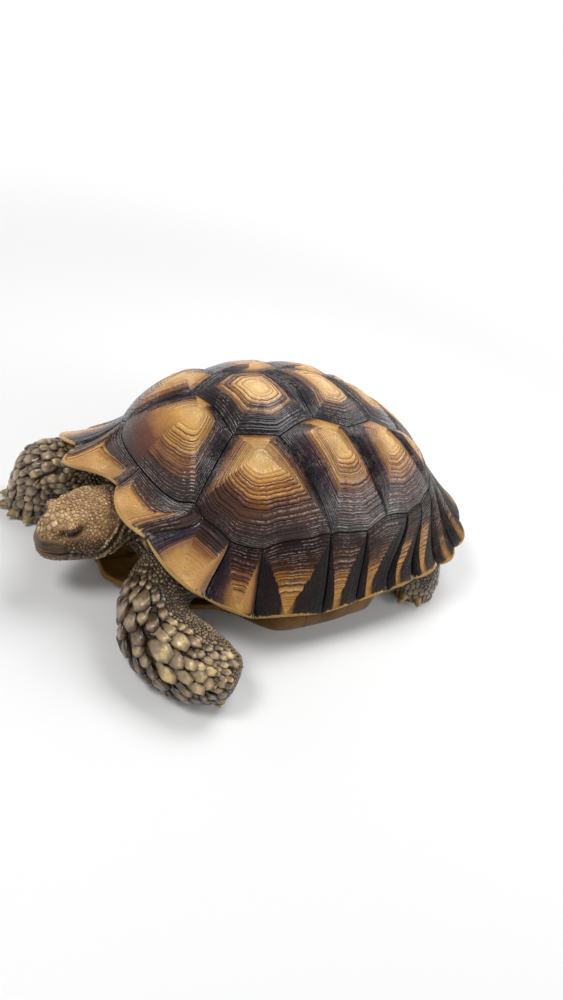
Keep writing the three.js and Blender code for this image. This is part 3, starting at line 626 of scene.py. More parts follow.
vertebralKeratin = keratin("crownScuteKeratin", {
    "low": [(0.0, "#efca90"), (0.25, "#d6a96a"), (0.42, "#a0713f"), (0.56, "#5f3d29"), (0.75, "#33211e"),
            (1.0, "#191113")],
    "front": [(0.0, "#efca90"), (0.4, "#cc9e62"), (0.54, "#8e6543"), (0.66, "#3d2b2c"), (1.0, "#17131a")],
    "rear": [(0.0, "#efca90"), (0.32, "#d0a268"), (0.48, "#9a6f48"), (0.57, "#41302f"), (0.8, "#221b22"),
             (1.0, "#151117")],
})
firstVertebralKeratin = keratin("firstCrownScuteKeratin", {
    "low": [(0.0, "#dcb478"), (0.25, "#cb9c58"), (0.5, "#a87236"), (0.62, "#7d4d28"), (0.72, "#45271b"),
            (0.88, "#2c1713"), (1.0, "#1d0f0e")],
    "patch": [(0.0, "#dcb478"), (0.25, "#bd8c4b"), (0.5, "#96642f"), (0.6, "#6a3315"), (0.75, "#50230d"),
              (0.9, "#3a190b"), (1.0, "#160b0a")],
    "rear": [(0.0, "#dcb478"), (0.36, "#b58850"), (0.54, "#6a4836"), (0.66, "#2e2226"), (1.0, "#15101a")],
    "top": [(0.0, "#dcb478"), (0.75, "#c4924f"), (1.0, "#6d4a2e")],
})

for k, plan in enumerate(vertebralPlans):
    piece = domeScute(f"vertebralScute_{k + 1}", plan, shell["vertebralRise"], k,
                      {"rear": 0.4, "front": 0.3, "patch": -0.75})
    place(piece, firstVertebralKeratin if k == 0 else vertebralKeratin, "crown_scute", f"vertebral_{k + 1}")
for k, plan in enumerate(pleuralPlans):
    for side, turned, seed in (("left", plan, 20 + k), ("right", mirrorPlan(plan), 30 + k)):
        piece = domeScute(f"pleuralScute_{side}_{k + 1}", turned, shell["pleuralRise"], seed,
                          {"rear": 0.5, "front": -0.1 if k == 0 else -0.5})
        place(piece, firstPleuralKeratin if k == 0 else pleuralKeratin, "side_scute", f"pleural_{side}_{k + 1}")
print("dome scutes grown")

# marginal scutes

marginalTips = {
    "left": [12, 9, 3, 1, 1, 1, 2, 4, 7, 9, 8],
    "right": [25, 20, 6, 1, 1, 1, 2, 4, 7, 9, 8],
}
# an edge is an even bow at skew 1; the first one on the right is drawn to a point near its outer end
edgeShape = {"skew": 1, "roundness": 0.8}
pointedEdge = {"skew": 2, "roundness": 1.15}
marginal = {
    "lip": 3.4, "thickness": 5, "seamPull": 0.9, "rimPull": 0.6, "supracaudalTip": 5,
    "swell": 1.1, "seamRoll": 1.1, "lipRound": 1.1,
    "flareFront": 0.95, "flareSide": 0.08, "flareRear": 0.75,
}
# where the oldest field of each marginal lies: share from its front seam, share down to the rim
marginalAreolae = [(0.34, 0.96), (0.66, 0.96), (0.62, 0.96), (0.42, 0.96), (0.28, 0.96), (0.26, 0.96),
                   (0.3, 0.96), (0.32, 0.96), (0.4, 0.95), (0.45, 0.95), (0.5, 0.95)]


def rimAt(k, share, tip, shape=edgeShape):
    a, b = np.array(rimSeams[k][1], float), np.array(rimSeams[k + 1][1], float)
    outwards = unit([b[1] - a[1], a[0] - b[0], 0])
    if np.dot(outwards, (a + b) / 2 - np.array([0, 40, 0])) < 0:
        outwards = -outwards
    share = np.asarray(share)[..., None]
    bow = np.sin(np.pi * np.clip(share, 0, 1) ** shape["skew"]) ** shape["roundness"]
    return a + (b - a) * share + outwards * tip * bow


def marginalAt(angle, rim, down):
    chart = seamChart(angle)
    x, y = chart[..., 0], chart[..., 1]
    normal = domeNormal(x, y)
    top = domeAt(x, y) - normal * shell["seamSink"]
    span = np.linalg.norm(rim - top, axis=-1, keepdims=True)
    phi = np.radians(angle)
    side = np.stack([np.sin(phi), -np.cos(phi), np.zeros_like(phi)], -1)
    plane = unit(np.cross(normal, [0, 0, 1]))
    slope = unit(np.cross(plane, normal))
    slope = np.where(slope[..., 2:] > 0, -slope, slope)
    turn = np.cos(phi)[..., None]
    lie = np.where(turn > 0, lerp(marginal["flareSide"], marginal["flareFront"], smooth(turn)),
                   lerp(marginal["flareSide"], marginal["flareRear"], smooth(-turn)))
    edge = side * lie + np.array([0, 0, -1]) * (1 - lie)
    edge = unit(edge + unit(rim - top) * marginal["rimPull"])
    t = np.asarray(down)[..., None]
    pull = span * marginal["seamPull"]
    return top * (2 * t ** 3 - 3 * t ** 2 + 1) + slope * (t ** 3 - 2 * t ** 2 + t) * pull \
        + rim * (-2 * t ** 3 + 3 * t ** 2) + edge * (t ** 3 - t ** 2) * pull


def marginalSurface(k, side):
    start, end = rimSeams[k][0], rimSeams[k + 1][0]
    sign = 1 if side == "left" else -1
    shape = pointedEdge if k == 0 and side == "right" else edgeShape

    def surface(u, v):
        u, v = np.asarray(u, float), np.asarray(v, float)
        rim = rimAt(k, u, marginalTips[side][k], shape) * np.array([sign, 1, 1])
        return marginalAt(sign * lerp(start, end, u), rim, v)

    return surface


def rearSurface(u, v):
    # the supracaudal, from the left seam round to the right one
    u, v = np.asarray(u, float), np.asarray(v, float)
    last, a = rimSeams[-1]
    half = 1 - np.abs(2 * u - 1)
    sign = np.where(u > 0.5, -1.0, 1.0)
    rim = np.array(a, float) + (np.array(rimRear, float) - np.array(a, float)) * half[..., None]
    rim = rim * np.stack([sign, np.ones_like(sign), np.ones_like(sign)], -1)
    rim[..., 1] += marginal["supracaudalTip"] * smooth(half)
    return marginalAt(lerp(last, 360 - last, u), rim, v)


def normalOf(surface, outwardsFrom=(0, 40, 60)):
    def normal(u, v):
        step = 0.02
        alongU = surface(u + step, v) - surface(u - step, v)
        alongV = surface(u, v + step) - surface(u, v - step)
        found = unit(np.cross(alongU, alongV))
        away = surface(u, v) - np.array(outwardsFrom)
        # rims flare, so the side that faces up and out is the outer one
        facing = dots(found, unit(away) + np.array([0, 0, 0.8]))
        return found * np.sign(np.median(facing))
    return normal


def marginalScute(name, surface, areola, seed):
    normal = normalOf(surface)

    def envelope(s, chart):
        s = np.asarray(s, float)
        v = np.asarray(chart)[..., 1]
        roll = marginal["seamRoll"] * smooth((s - 0.93) / 0.07) * (1 - smooth((v - 0.88) / 0.1))
        return marginal["swell"] * (1 - s ** 2) - roll

    def underside(outline, middle):
        u, v = outline.T
        down = unit(surface(u, v) - surface(u, v - 0.02)) * smooth((v - 0.97) / 0.03)[:, None]
        lip, out = marginal["lip"], marginal["lipRound"]
        rings = [surface(u, v) - normal(u, v) * lip * deep + down * out * share
                 for deep, share in ((0.18, 0.7), (0.5, 1.0), (0.85, 0.6))]
        for share in (1, 0.8, 0.6, 0.4, 0.2):
            chart = middle + (outline - middle) * share
            depth = lerp(marginal["thickness"], lip, chart[:, 1])[:, None]
            rings.append(surface(*chart.T) - normal(*chart.T) * depth)
        return [*rings, surface(*middle[:, None]) - normal(*middle[:, None]) * lip]

    square = [(0.0, 0.0), (1.0, 0.0), (1.0, 1.0), (0.0, 1.0)]
    runs = [np.linspace(square[i], square[(i + 1) % 4], 40) for i in range(4)]
    return growScute(name, areola, runs, ["low", "rear", "rim", "front"], surface, normal, envelope,
                     underside, seed, {"front": -0.75, "rear": -0.75, "rim": -0.85}, 0.13)


rimTan = [(0.0, "#cda066"), (0.5, "#c2924d"), (1.0, "#cda566")]
sideMarginalKeratin = keratin("rimScuteKeratin", {
    "low": [(0.0, "#c2924f"), (0.26, "#ab7a3a"), (0.5, "#86592a"), (0.6, "#4b2d1a"), (0.78, "#2e1813"),
            (1.0, "#1f100d")],
    "front": [(0.0, "#b98a4a"), (0.12, "#7b5029"), (0.2, "#210d08"), (0.7, "#120503"), (1.0, "#0c0404")],
    "rear": [(0.0, "#b98a4a"), (0.16, "#875c30"), (0.25, "#22100b"), (0.75, "#140a09"), (1.0, "#0e0708")],
    "rim": rimTan}, gloss=dullGloss, plainSides=0.9)
thirdMarginalKeratin = keratin("thirdRimScuteKeratin", {
    "low": [(0.0, "#c69a5c"), (0.26, "#a5753f"), (0.48, "#74492a"), (0.64, "#3b2019"), (1.0, "#20110f")],
    "front": [(0.0, "#b98a4a"), (0.36, "#8c6338"), (0.52, "#4a3331"), (0.75, "#2b2026"), (1.0, "#171015")],
    "rear": [(0.0, "#c69a5c"), (0.6, "#a8783f"), (0.84, "#4a2d1c"), (1.0, "#13090a")],
    "rim": rimTan}, gloss=dullGloss, plainSides=0.85)
secondMarginalKeratin = keratin("secondRimScuteKeratin", {
    "low": [(0.0, "#d2a469"), (0.42, "#bb8a4d"), (0.56, "#845432"), (0.68, "#44261f"), (0.85, "#291819"),
            (1.0, "#180e10")],
    # the front side's dark colours lean to purple as a painted reflection of the sky
    "front": [(0.0, "#d2a469"), (0.45, "#c19256"), (0.6, "#8a5f4c"), (0.72, "#40303b"), (0.88, "#281e28"),
              (1.0, "#150f14")],
    "rear": [(0.0, "#cda066"), (0.66, "#b3834a"), (0.88, "#6a4530"), (1.0, "#1c1012")],
    "rim": rimTan}, crestPaleAndHighlight=0.25, ringsFrom=0.5)
firstMarginalKeratin = keratin("firstRimScuteKeratin", {
    "low": [(0.0, "#d2a469"), (0.42, "#c39457"), (0.5, "#96683a"), (0.57, "#54382b"), (0.8, "#35241f"),
            (1.0, "#1e1312")],
    "front": [(0.0, "#d2a469"), (0.55, "#b58550"), (0.75, "#5e4038"), (1.0, "#231618")],
    "rear": [(0.0, "#d2a469"), (0.6, "#b3844c"), (0.78, "#4f332b"), (1.0, "#1d1216")],
    "rim": rimTan}, ringsFrom=0.42)
rearMarginalKeratin = keratin("rearRimScuteKeratin", {
    "low": [(0.0, "#b08142"), (0.22, "#764e26"), (0.4, "#3d2517"), (0.75, "#231310"), (1.0, "#170c0b")],
    "front": [(0.0, "#b08142"), (0.26, "#6b4826"), (0.38, "#1e100d"), (1.0, "#110909")],
    "rear": [(0.0, "#b08142"), (0.3, "#604225"), (0.44, "#1b100f"), (1.0, "#100a0a")],
    "rim": [(0.0, "#b08142"), (0.5, "#a4783a"), (1.0, "#bd9350")]}, gloss=dullGloss, plainSides=0.7)
marginalFinish = [firstMarginalKeratin, secondMarginalKeratin, thirdMarginalKeratin] + [sideMarginalKeratin] * 5 \
    + [rearMarginalKeratin] * 3

for side, firstSeed in (("left", 50), ("right", 70)):
    for k, finish in enumerate(marginalFinish):
        piece = marginalScute(f"marginalScute_{side}_{k + 1}", marginalSurface(k, side), marginalAreolae[k],
                              firstSeed + k)
        place(piece, finish, "rim_scute", f"marginal_{side}_{k + 1}")
place(marginalScute("supracaudalScute", rearSurface, (0.5, 0.85), 95), rearMarginalKeratin, "rim_scute",
      "supracaudal")
print("marginal scutes grown")

# plastron

plastronOutline = [
    (0, -143), (17, -153), (32, -140), (58, -122), (78, -98), (88, -70), (104, -56), (141, -50), (150, -6),
    (153, 34), (155, 64), (112, 82), (90, 104), (84, 134), (64, 172), (38, 199), (0, 180),
]
plastron = {
    "middle": 22, "thickness": 7, "wingThickness": 16, "wingSlope": 0.085, "flatHalfWidth": 88,
    "wingHalfWidth": 150, "bridgeRise": 23, "flatShare": 0.8, "edgeRise": 6, "rounding": 3.5,
    "around": 320, "across": 74, "seamDepth": 0.9, "seamWidth": 1.3, "ringPitch": 3.4, "ringDepth": 0.16,
}
# the plastron's cross seams on the left: points from the middle line outwards
plastronSeams = [
    [(0, -112), (20, -124), (46, -131)], [(0, -78), (45, -74), (92, -62)],
    [(0, -52), (60, -42), (100, -34), (152, -20)], [(0, 70), (60, 74), (118, 70), (156, 52)],
    [(0, 132), (40, 136), (84, 128)], [(100, -60), (112, -36), (118, 0), (116, 50), (104, 84)],
]


def plastronReach(angles):
    turns = np.array([math.atan2(x, plastron["middle"] - y) for x, y in plastronOutline])
    reach = np.array([math.hypot(x, plastron["middle"] - y) for x, y in plastronOutline])
    fine = roundRing(1440)
    ring = np.interp(np.where(fine > np.pi, 2 * np.pi - fine, fine), turns, reach)
    width = plastron["rounding"]
    shifts = np.arange(-36, 37)
    weights = np.exp(-(shifts * 0.25 / width) ** 2)
    ring = sum(np.roll(ring, s) * w for s, w in zip(shifts, weights)) / weights.sum()
    return np.interp(np.mod(angles, 2 * np.pi), np.append(fine, 2 * np.pi), np.append(ring, ring[0]))


def plastronAt(angle, share, level):
    reach = plastronReach(angle) * share
    x, y = np.sin(angle) * reach, plastron["middle"] - np.cos(angle) * reach
    inner, outer = plastron["flatHalfWidth"], plastron["wingHalfWidth"]
    wing = np.clip((np.abs(x) - inner) / (outer - inner), 0, 1)
    edge = np.clip((share - plastron["flatShare"]) / (1 - plastron["flatShare"]), 0, 1)
    z = plastron["bridgeRise"] * smooth(wing) + plastron["edgeRise"] * (1 - wing) * edge ** 2
    top = plastron["wingThickness"] + plastron["wingSlope"] * np.abs(y)
    thickness = lerp(plastron["thickness"], top, smooth(wing))
    return np.stack([x, y, z + level * thickness], -1)


def distanceToLine(points, line):
    best = np.full(len(points), 1e9)
    for a, b in zip(line[:-1], line[1:]):
        a, b = np.array(a, float), np.array(b, float)
        t = np.clip(((points - a) @ (b - a)) / np.dot(b - a, b - a), 0, 1)
        best = np.minimum(best, np.linalg.norm(points - a - t[:, None] * (b - a), axis=1))
    return best


def makePlastron():
    around = plastron["around"]
    angles = roundRing(around)
    lower = [*np.linspace(0.01, 0.97, plastron["across"]), 0.985, 0.996]
    edge = [(1.004, 0.12), (1.008, 0.35), (1.008, 0.65), (1.004, 0.88)]
    upper = [0.996, 0.985, *np.linspace(0.97, 0.5, 12), 0.2]
    rows = [plastronAt(angles, share, 0) for share in lower] + [plastronAt(angles, *at) for at in edge] \
        + [plastronAt(angles, share, 1) for share in upper]
    flat = np.concatenate(rows)
    plan = np.stack([np.abs(flat[:, 0] + 0.8 * np.sin(flat[:, 1] / 17)), flat[:, 1]], -1)
    toSeam = np.minimum(plan[:, 0], np.min([distanceToLine(plan, seam) for seam in plastronSeams], axis=0))
    rings = 0.5 + 0.5 * np.cos(2 * np.pi * toSeam / plastron["ringPitch"])
    dip = plastron["seamDepth"] * bump(toSeam, 0, plastron["seamWidth"]) + plastron["ringDepth"] * rings
    flat[:, 2] += dip * np.repeat([1, 0, -1], np.array([len(lower), len(edge), len(upper)]) * around)
    middle = [0, plastron["middle"], 0]
    points = np.concatenate([[middle], flat, [[0, plastron["middle"], plastron["thickness"]]]])
    wing = smooth((np.abs(flat[:, 0]) - plastron["flatHalfWidth"]) / 40)
    floats = {"toSeam": toSeam, "rings": rings, "wing": wing}
    return newObject("plastronPlates", points, closedFaces(len(rows), around),
                     {key: np.pad(values, 1, mode="edge") for key, values in floats.items()})


def plastronMaterial():
    finish = Finish("plastronKeratin", 0.45, 0.12)
    # the plastron's gold-brown horn, darkened overall as painted shade
    colour = finish.grain(26, 5).ramp([(0.25, "#5b3d1b"), (0.45, "#7d5a2b"), (0.65, "#9a7439"),
                                       (0.85, "#b48e50")])
    rings = finish.read("rings") * finish.grain(120, 4).ranged(0.35, 0.65)
    colour = finish.blend(rings * 0.45, colour, "#4a2f16")
    # painted shade on the bridge, under the shell's edge
    colour = finish.blend(finish.read("wing").ranged(0.1, 0.8, 0.0, 0.5), colour, "#3d240c")
    colour = finish.blend(finish.read("toSeam").ranged(0.6, 2.0, 0.75, 0.0), colour, "#3d2818")
    finish.colour(finish.scaled(colour, finish.grain(700, 4, 0.7).ranged(0.3, 0.7, 0.85, 1.08)))
    finish.relief(finish.grain(900, 5, 0.6), 0.0003, 0.4)
    return finish.material


place(makePlastron(), plastronMaterial(), "plastron", "plastron")
print("plastron made")

# flesh: one skin

# stops along each limb: middle, half width, half height, from the trunk outwards
limbs = {
    "neck": [((0, -92, 74), 31, 30), ((-1, -122, 67), 30, 29), ((-2, -148, 63), 27, 28)],
    "tail": [((0, 165, 50), 18, 17), ((0, 205, 40), 14, 12), ((0, 224, 28), 10, 9), ((0, 236, 18), 5, 5)],
    "frontLeft": [((60, -84, 58), 26, 30), ((66, -112, 52), 28, 29), ((76, -133, 44), 28, 30),
                  ((94, -144, 33), 29, 32), ((116, -144, 27), 31, 33), ((139, -135, 26), 31, 33),
                  ((156, -125, 26), 27, 31), ((166, -118, 26), 22, 28)],
    "frontRight": [((-60, -84, 60), 26, 29), ((-68, -112, 59), 28, 28), ((-82, -137, 55), 28, 24),
                   ((-92, -153, 47), 28, 26), ((-95, -160, 26), 28, 27), ((-95, -161, -4), 28, 27)],
    "rearLeft": [((86, 110, 72), 33, 34), ((105, 130, 58), 33, 33), ((122, 146, 38), 31, 32),
                 ((131, 152, 16), 28, 29), ((132, 153, -4), 28, 28)],
}
limbs["rearRight"] = [((-x, y, z), wide, high) for (x, y, z), wide, high in limbs["rearLeft"]]
# the loose skin that closes the shell's openings: middle, half width, half height, from front to rear
trunkStops = [((0, -118, 56), 66, 30), ((0, -104, 56), 96, 38), ((0, -60, 56), 112, 42), ((0, 20, 56), 120, 44),
              ((0, 100, 54), 116, 40), ((0, 160, 50), 96, 32), ((0, 190, 48), 62, 22)]
headSections = [  # along, half width, top, bottom
    (0, 26, 25, 27), (12, 30, 29.5, 28.5), (27, 29.5, 31, 27), (40, 25, 30.5, 24.5), (51, 20, 27, 22),
    (60, 15.5, 21, 19.5), (65.5, 10.5, 13, 16),
]
head = {"at": (-1, -144, 64), "yaw": 5.7, "pitch": 5, "backBulge": 5, "snoutBulge": 3}
eye = {"radius": 6, "along": 47, "out": 14.8, "up": 18.5}
gazeAim = (0.87, 0.33, 0.27)
skinShape = {
    "inset": 1.1, "voxel": 1.35, "limbSquare": 0.88, "headSquare": 0.8, "trunkSquare": 0.75, "around": 44,
    "headAround": 72, "trunkAround": 72, "perStop": 10, "perHeadStop": 9, "meltSteps": 7,
    "ground": 0.5, "foldDepth": 1.7, "foldPitch": 11.5,
}


def squared(t, power):
    return np.sign(t) * np.abs(t) ** power


def throughStops(values, perStop):
    # a smooth curve through rows of numbers
    values = np.asarray(values, float)
    padded = np.concatenate([[2 * values[0] - values[1]], values, [2 * values[-1] - values[-2]]])
    rows = []
    for i in range(len(values) - 1):
        p0, p1, p2, p3 = padded[i:i + 4]
        t = np.linspace(0, 1, perStop, endpoint=False)[:, None]
        rows.append(0.5 * (2 * p1 + (p2 - p0) * t + (2 * p0 - 5 * p1 + 4 * p2 - p3) * t ** 2
                           + (3 * p1 - p0 - 3 * p2 + p3) * t ** 3))
    return np.concatenate([*rows, values[-1:]])


def tube(stops, around, roundEnds=0.5, power=skinShape["limbSquare"]):
    # a rounded tube through its stops: points and faces
    table = throughStops([[*at, wide, high] for at, wide, high in stops], skinShape["perStop"])
    spine, halves = table[:, :3], table[:, 3:] - skinShape["inset"]
    along = unit(np.gradient(spine, axis=0))
    angles = roundRing(around)
    across, up = squared(np.cos(angles), power)[:, None], squared(np.sin(angles), power)[:, None]
    above = np.array([0.0, 0.0, 1.0])
    frames = []
    for at, way, (wide, high) in zip(spine, along, halves):
        above = unit(above - way * np.dot(above, way))
        frames.append((at, way, np.cross(above, way) * wide, above * high, min(wide, high) * roundEnds))

    def ring(k, turn):
        # turn: from 0 where the tube is full, to a right angle at the end of its cap
        at, way, aside, over, reach = frames[k]
        sign = -1 if k == 0 else 1
        return at + way * sign * reach * np.sin(turn) + np.cos(turn) ** 0.8 * (aside * across + over * up)

    caps = np.linspace(0, np.pi / 2, 7)[1:-1]
    rings = [ring(0, turn) for turn in caps[::-1]] + [ring(k, 0) for k in range(len(frames))] \
        + [ring(-1, turn) for turn in caps]
    tips = [at + way * sign * reach for (at, way, _, _, reach), sign in ((frames[0], -1), (frames[-1], 1))]
    return loft(np.array(rings), *tips)


def loft(rings, start, end):
    # rings of points closed by a point at each end
    return np.concatenate([[start], np.reshape(rings, (-1, 3)), [end]]), closedFaces(len(rings), len(rings[0]))


def headToShell(points):
    # the head's own axes: side, forwards, up
    points = np.asarray(points, float)
    x, y, z = points[..., 0], -points[..., 1], points[..., 2]
    a, b = math.radians(head["pitch"]), math.radians(head["yaw"])
    y, z = y * math.cos(a) - z * math.sin(a), y * math.sin(a) + z * math.cos(a)
    x, y = x * math.cos(b) - y * math.sin(b), x * math.sin(b) + y * math.cos(b)
    return np.stack([x, y, z], -1) + np.array(head["at"])


def shellToHead(points):
    p = np.asarray(points, float) - np.array(head["at"])
    a, b = math.radians(head["pitch"]), math.radians(head["yaw"])
    x = p[..., 0] * math.cos(b) + p[..., 1] * math.sin(b)
    y = -p[..., 0] * math.sin(b) + p[..., 1] * math.cos(b)
    y, z = y * math.cos(a) + p[..., 2] * math.sin(a), -y * math.sin(a) + p[..., 2] * math.cos(a)
    return np.stack([x, -y, z], -1)


def headForm():
    table = throughStops(headSections, skinShape["perHeadStop"])
    angles, inset = roundRing(skinShape["headAround"]), skinShape["inset"]
    across, up = (squared(part, skinShape["headSquare"]) for part in (np.cos(angles), np.sin(angles)))
    rings = []
    for along, half, top, bottom in table:
        reach = np.where(up > 0, top - inset, bottom - inset)
        rings.append(np.stack([across * (half - inset), np.full(len(angles), along), up * reach], -1))
    front, _, top, bottom = table[-1]
    middle = np.array([0, 0, (top - bottom) / 2])
    last = rings[-1]
    for turn in np.linspace(0, np.pi / 2, 6)[1:-1]:
        ring = (last - middle) * np.array([np.cos(turn), 1, np.cos(turn)]) + middle
        ring[:, 1] = front + head["snoutBulge"] * np.sin(turn)
        rings.append(ring)
    snout = np.array([0, front + head["snoutBulge"], middle[2]])
    points, faces = loft(rings, np.array([0, -head["backBulge"] + 1, 0]), snout)
    return headToShell(points), faces


mouth = {"height": -3.0, "corner": 39.0, "sink": 3.4}
beak = {
    "axis": 38, "sweep": 56, "around": 96, "rows": 17, "rise": 13.5, "horn": 0.9, "lip": 0.7, "lowerDepth": 7.2,
    "teeth": 0.16, "hook": 1.4, "gap": 2.0,
}


def mouthHeight(along):
    # the mouth line dips at the beak's tip and sinks towards its corner
    return mouth["height"] - mouth["sink"] * smooth((57 - along) / 17) - 1.2 * bump(along, 69, 5)


headLumps = [  # along, out, up, widths in these directions, height
    (50, 10.5, 25, (8, 4.5, 3.5), 1.3),      # brow
    (39, 14.5, 27, (11, 5, 4), 1.9),
    (20, 27, -4, (11, 9, 11), 1.8),          # jaw muscle
    (30, 22, 19, (8, 6, 7), -1.2),           # temple
    (47, 20, 7, (8, 6, 4), -1.5),            # under the eye
    (63, 5, 19, (5, 5, 4), 1.3),             # nose
    (66, 3.4, 13.4, (2, 1.5, 1.3), -2.0),    # nostril
    (27, 28, 7, (4.5, 9, 4.5), -1.1),        # ear
    (27, 28, 7, (2.4, 9, 2.4), 0.7),
    (55, 0, 26, (9, 1.6, 9), -0.7),          # furrow between the nose plates
    (22, 9, 30, (12, 5, 6), 0.9),            # back of the crown
    (36, 8, -20, (16, 6, 8), -0.8),          # hollow inside the jaw
]


def toMouth(along, up, width):
    # how near a place is to the closed mouth's line, in front of its corner
    return bump(up, mouthHeight(along), width) * smooth((along - mouth["corner"] + 3) / 4)


def headParts(points):
    # a place in the head's own axes, and how far it is from the head's middle
    p = shellToHead(points)
    return p, np.linalg.norm(p - [0, 30, 0], axis=1)


def sculptHead(points, normals):
    # moves along the skin's own normal
    p, off = headParts(points)
    out, along, up = np.abs(p[:, 0]), p[:, 1], p[:, 2]
    move = np.zeros(len(p))
    for *middle, widths, height in headLumps:
        steps = [(value - at) / wide for value, at, wide in zip((along, out, up), middle, widths)]
        move += height * np.exp(-(steps[0] ** 2 + steps[1] ** 2 + steps[2] ** 2))
    move -= 1.5 * toMouth(along, up, 1.5)
    return points + normals * (move * smooth((along + 4) / 8) * (off < 62))[:, None]


def neckFolds(points):
    # where the loose folds behind and under the jaw rise (1) and sink (-1), and how strong they are there
    p = shellToHead(points)
    a, z = p[:, 1], p[:, 2]
    inNeck = smooth((a + 46) / 14) * smooth((33 - a) / 5) * (np.hypot(p[:, 0], z) < 44)
    low = 0.25 + 0.75 * smooth((17 - z) / 7)
    course = a + z * smooth((z + 24) / 12) + 1.6 * np.sin(a * 0.21 + z * 0.13) + 0.9 * np.sin(z * 0.5 + 1)
    behind = smooth((32 - a - z) / 4)
    wave = np.cos(2 * np.pi * (course - 25) / skinShape["foldPitch"])
    ridge = np.where(wave > 0, np.maximum(wave, 0) ** 1.5, -np.abs(wave) ** 0.8)
    return ridge, inNeck * low * behind


def foldNeck(points, normals):
    ridge, strength = neckFolds(points)
    return points + normals * (strength * skinShape["foldDepth"] * (0.8 * ridge - 0.3))[:, None]


def eyeAxis(side):
    # the eye's middle and the way it looks, in the head's axes
    mirror = np.array([side, 1.0, 1.0])
    return mirror * [eye["out"], eye["along"], eye["up"]], unit(mirror * gazeAim)


def openSockets(points):
    # keeps the skin behind the eyeball's front
    p = shellToHead(points)
    for side in (-1, 1):
        centre, gaze = eyeAxis(side)
        rel = p - centre
        depth = rel @ gaze
        off = np.linalg.norm(rel - depth[:, None] * gaze, axis=1)
        limit = lerp(0.5, 9, smooth((off - 5.6) / 3.2))
        over = np.maximum(depth - limit, 0) * ((off < 8.5) & (depth > -2))
        p = p - gaze * over[:, None]
    return headToShell(p)


def meshArrays(obj):
    mesh = obj.data
    points = np.empty(len(mesh.vertices) * 3, np.float32)
    normals = np.empty(len(mesh.vertices) * 3, np.float32)
    mesh.vertices.foreach_get("co", points)
    mesh.vertex_normals.foreach_get("vector", normals)
    return (points.reshape(-1, 3).astype(float) - shellMiddle) * 1000, normals.reshape(-1, 3).astype(float)


def setPoints(obj, points):
    obj.data.vertices.foreach_set("co", toRow(points).astype(np.float32).ravel())
    obj.data.update()


def makeSkin():
    forms = [tube(stops, skinShape["around"]) for stops in limbs.values()]
    forms.append(tube(trunkStops, skinShape["trunkAround"], 0.3, skinShape["trunkSquare"]))
    forms.append(headForm())
    lowest = [-np.inf, -np.inf, skinShape["ground"]]
    onGround = [(np.maximum(points, lowest), faces) for points, faces in forms]
    skin = newObject("skin", *joined(onGround))
    weld = skin.modifiers.new("weld", "REMESH")
    weld.mode = "VOXEL"
    weld.voxel_size = skinShape["voxel"] / 1000
    weld.use_smooth_shade = True
    melt = skin.modifiers.new("melt", "SMOOTH")
    melt.factor = 0.5
    melt.iterations = skinShape["meltSteps"]
    graph = bpy.context.evaluated_depsgraph_get()
    welded = bpy.data.meshes.new_from_object(skin.evaluated_get(graph), depsgraph=graph)
    skin.modifiers.clear()
    skin.data = welded
    for step in (sculptHead, foldNeck):
        setPoints(skin, step(*meshArrays(skin)))
    flesh = openSockets(meshArrays(skin)[0])
    flesh[:, 2] = np.maximum(flesh[:, 2], skinShape["ground"])
    setPoints(skin, flesh)
    return skin


skin = makeSkin()
print("skin joined:", len(skin.data.vertices), "points")

# scales: solid tiles that follow the skin

scales = {
    "packing": 0.86, "samplesPerScale": 7, "relaxing": 5, "neighbours": 14, "seed": 5,
    "least": 2.5, "bigFrom": 4.2, "followFrom": 3.0, "patch": 0.0014, "uneven": 0.2, "tip": 1.45,
    "lean": 0.42,
}


spines = {name: throughStops([[*at, wide, high] for at, wide, high in stops], 8)
          for name, stops in limbs.items()}


def alongLimb(name, points):
    # share of the way down the limb, the way round it, how far out in half widths, and the limb's direction
    spine = spines[name]
    middle = spine[:, :3]
    along = unit(np.gradient(middle, axis=0))
    nearest = np.argmin(np.linalg.norm(points[:, None] - middle[None], axis=2), axis=1)
    rel = points - middle[nearest]
    forward = along[nearest]
    aside = unit(np.cross(forward, [0, 0, 1.0]) + 1e-6)
    over = np.cross(aside, forward)
    turn = np.arctan2(dots(rel, over), dots(rel, aside))
    length = np.concatenate([[0], np.cumsum(np.linalg.norm(np.diff(middle, axis=0), axis=1))])
    share = (length[nearest] + dots(rel, forward)) / length[-1]
    out = np.linalg.norm(rel, axis=1) / spine[nearest, 3:].mean(1)
    return share, turn, out, forward


def regionOf(points):
    # the part of the body that each skin point belongs to
    names = list(limbs)
    distance = np.stack([alongLimb(name, points)[2] for name in names], 1)
    p, off = headParts(points)
    region = np.array(names, object)[np.argmin(distance, axis=1)]
    inHead = (p[:, 1] > -3) & (off < 60) & (np.abs(p[:, 0]) < 34)
    hidden = (points[:, 1] > -96) & (points[:, 1] < 128) & (np.abs(points[:, 0]) < 118)
    region[distance.min(1) > 1.22] = "pocket"
    region[hidden] = "hidden"
    region[inHead] = "head"
    return region


# the great scales' side of each forearm, and their size
greatScales = {"frontLeft": ((-0.35, -0.86, 0.12), 14.5), "frontRight": ((-0.1, -0.93, 0.1), 10.5)}
soleScale = 5.0


def armSizes(limb):
    way, largest = greatScales[limb]

    def sizes(points, normals):
        share = alongLimb(limb, points)[0]
        facing = normals @ unit(way)
        size = lerp(3.0, largest, smooth((facing - 0.05) / 0.55) * smooth((share - 0.3) / 0.16))
        size = lerp(size, 7.5, smooth((share - 0.86) / 0.1) * (facing > -0.2))
        return np.where(normals[:, 2] < -0.75, soleScale, size)
    return sizes


def legSizes(limb):
    def sizes(points, normals):
        size = lerp(3.6, 6.2, smooth((alongLimb(limb, points)[0] - 0.62) / 0.3))
        return np.where(normals[:, 2] < -0.75, soleScale, size)
    return sizes


def evenSize(size):
    return lambda points, normals: np.full(len(points), size)


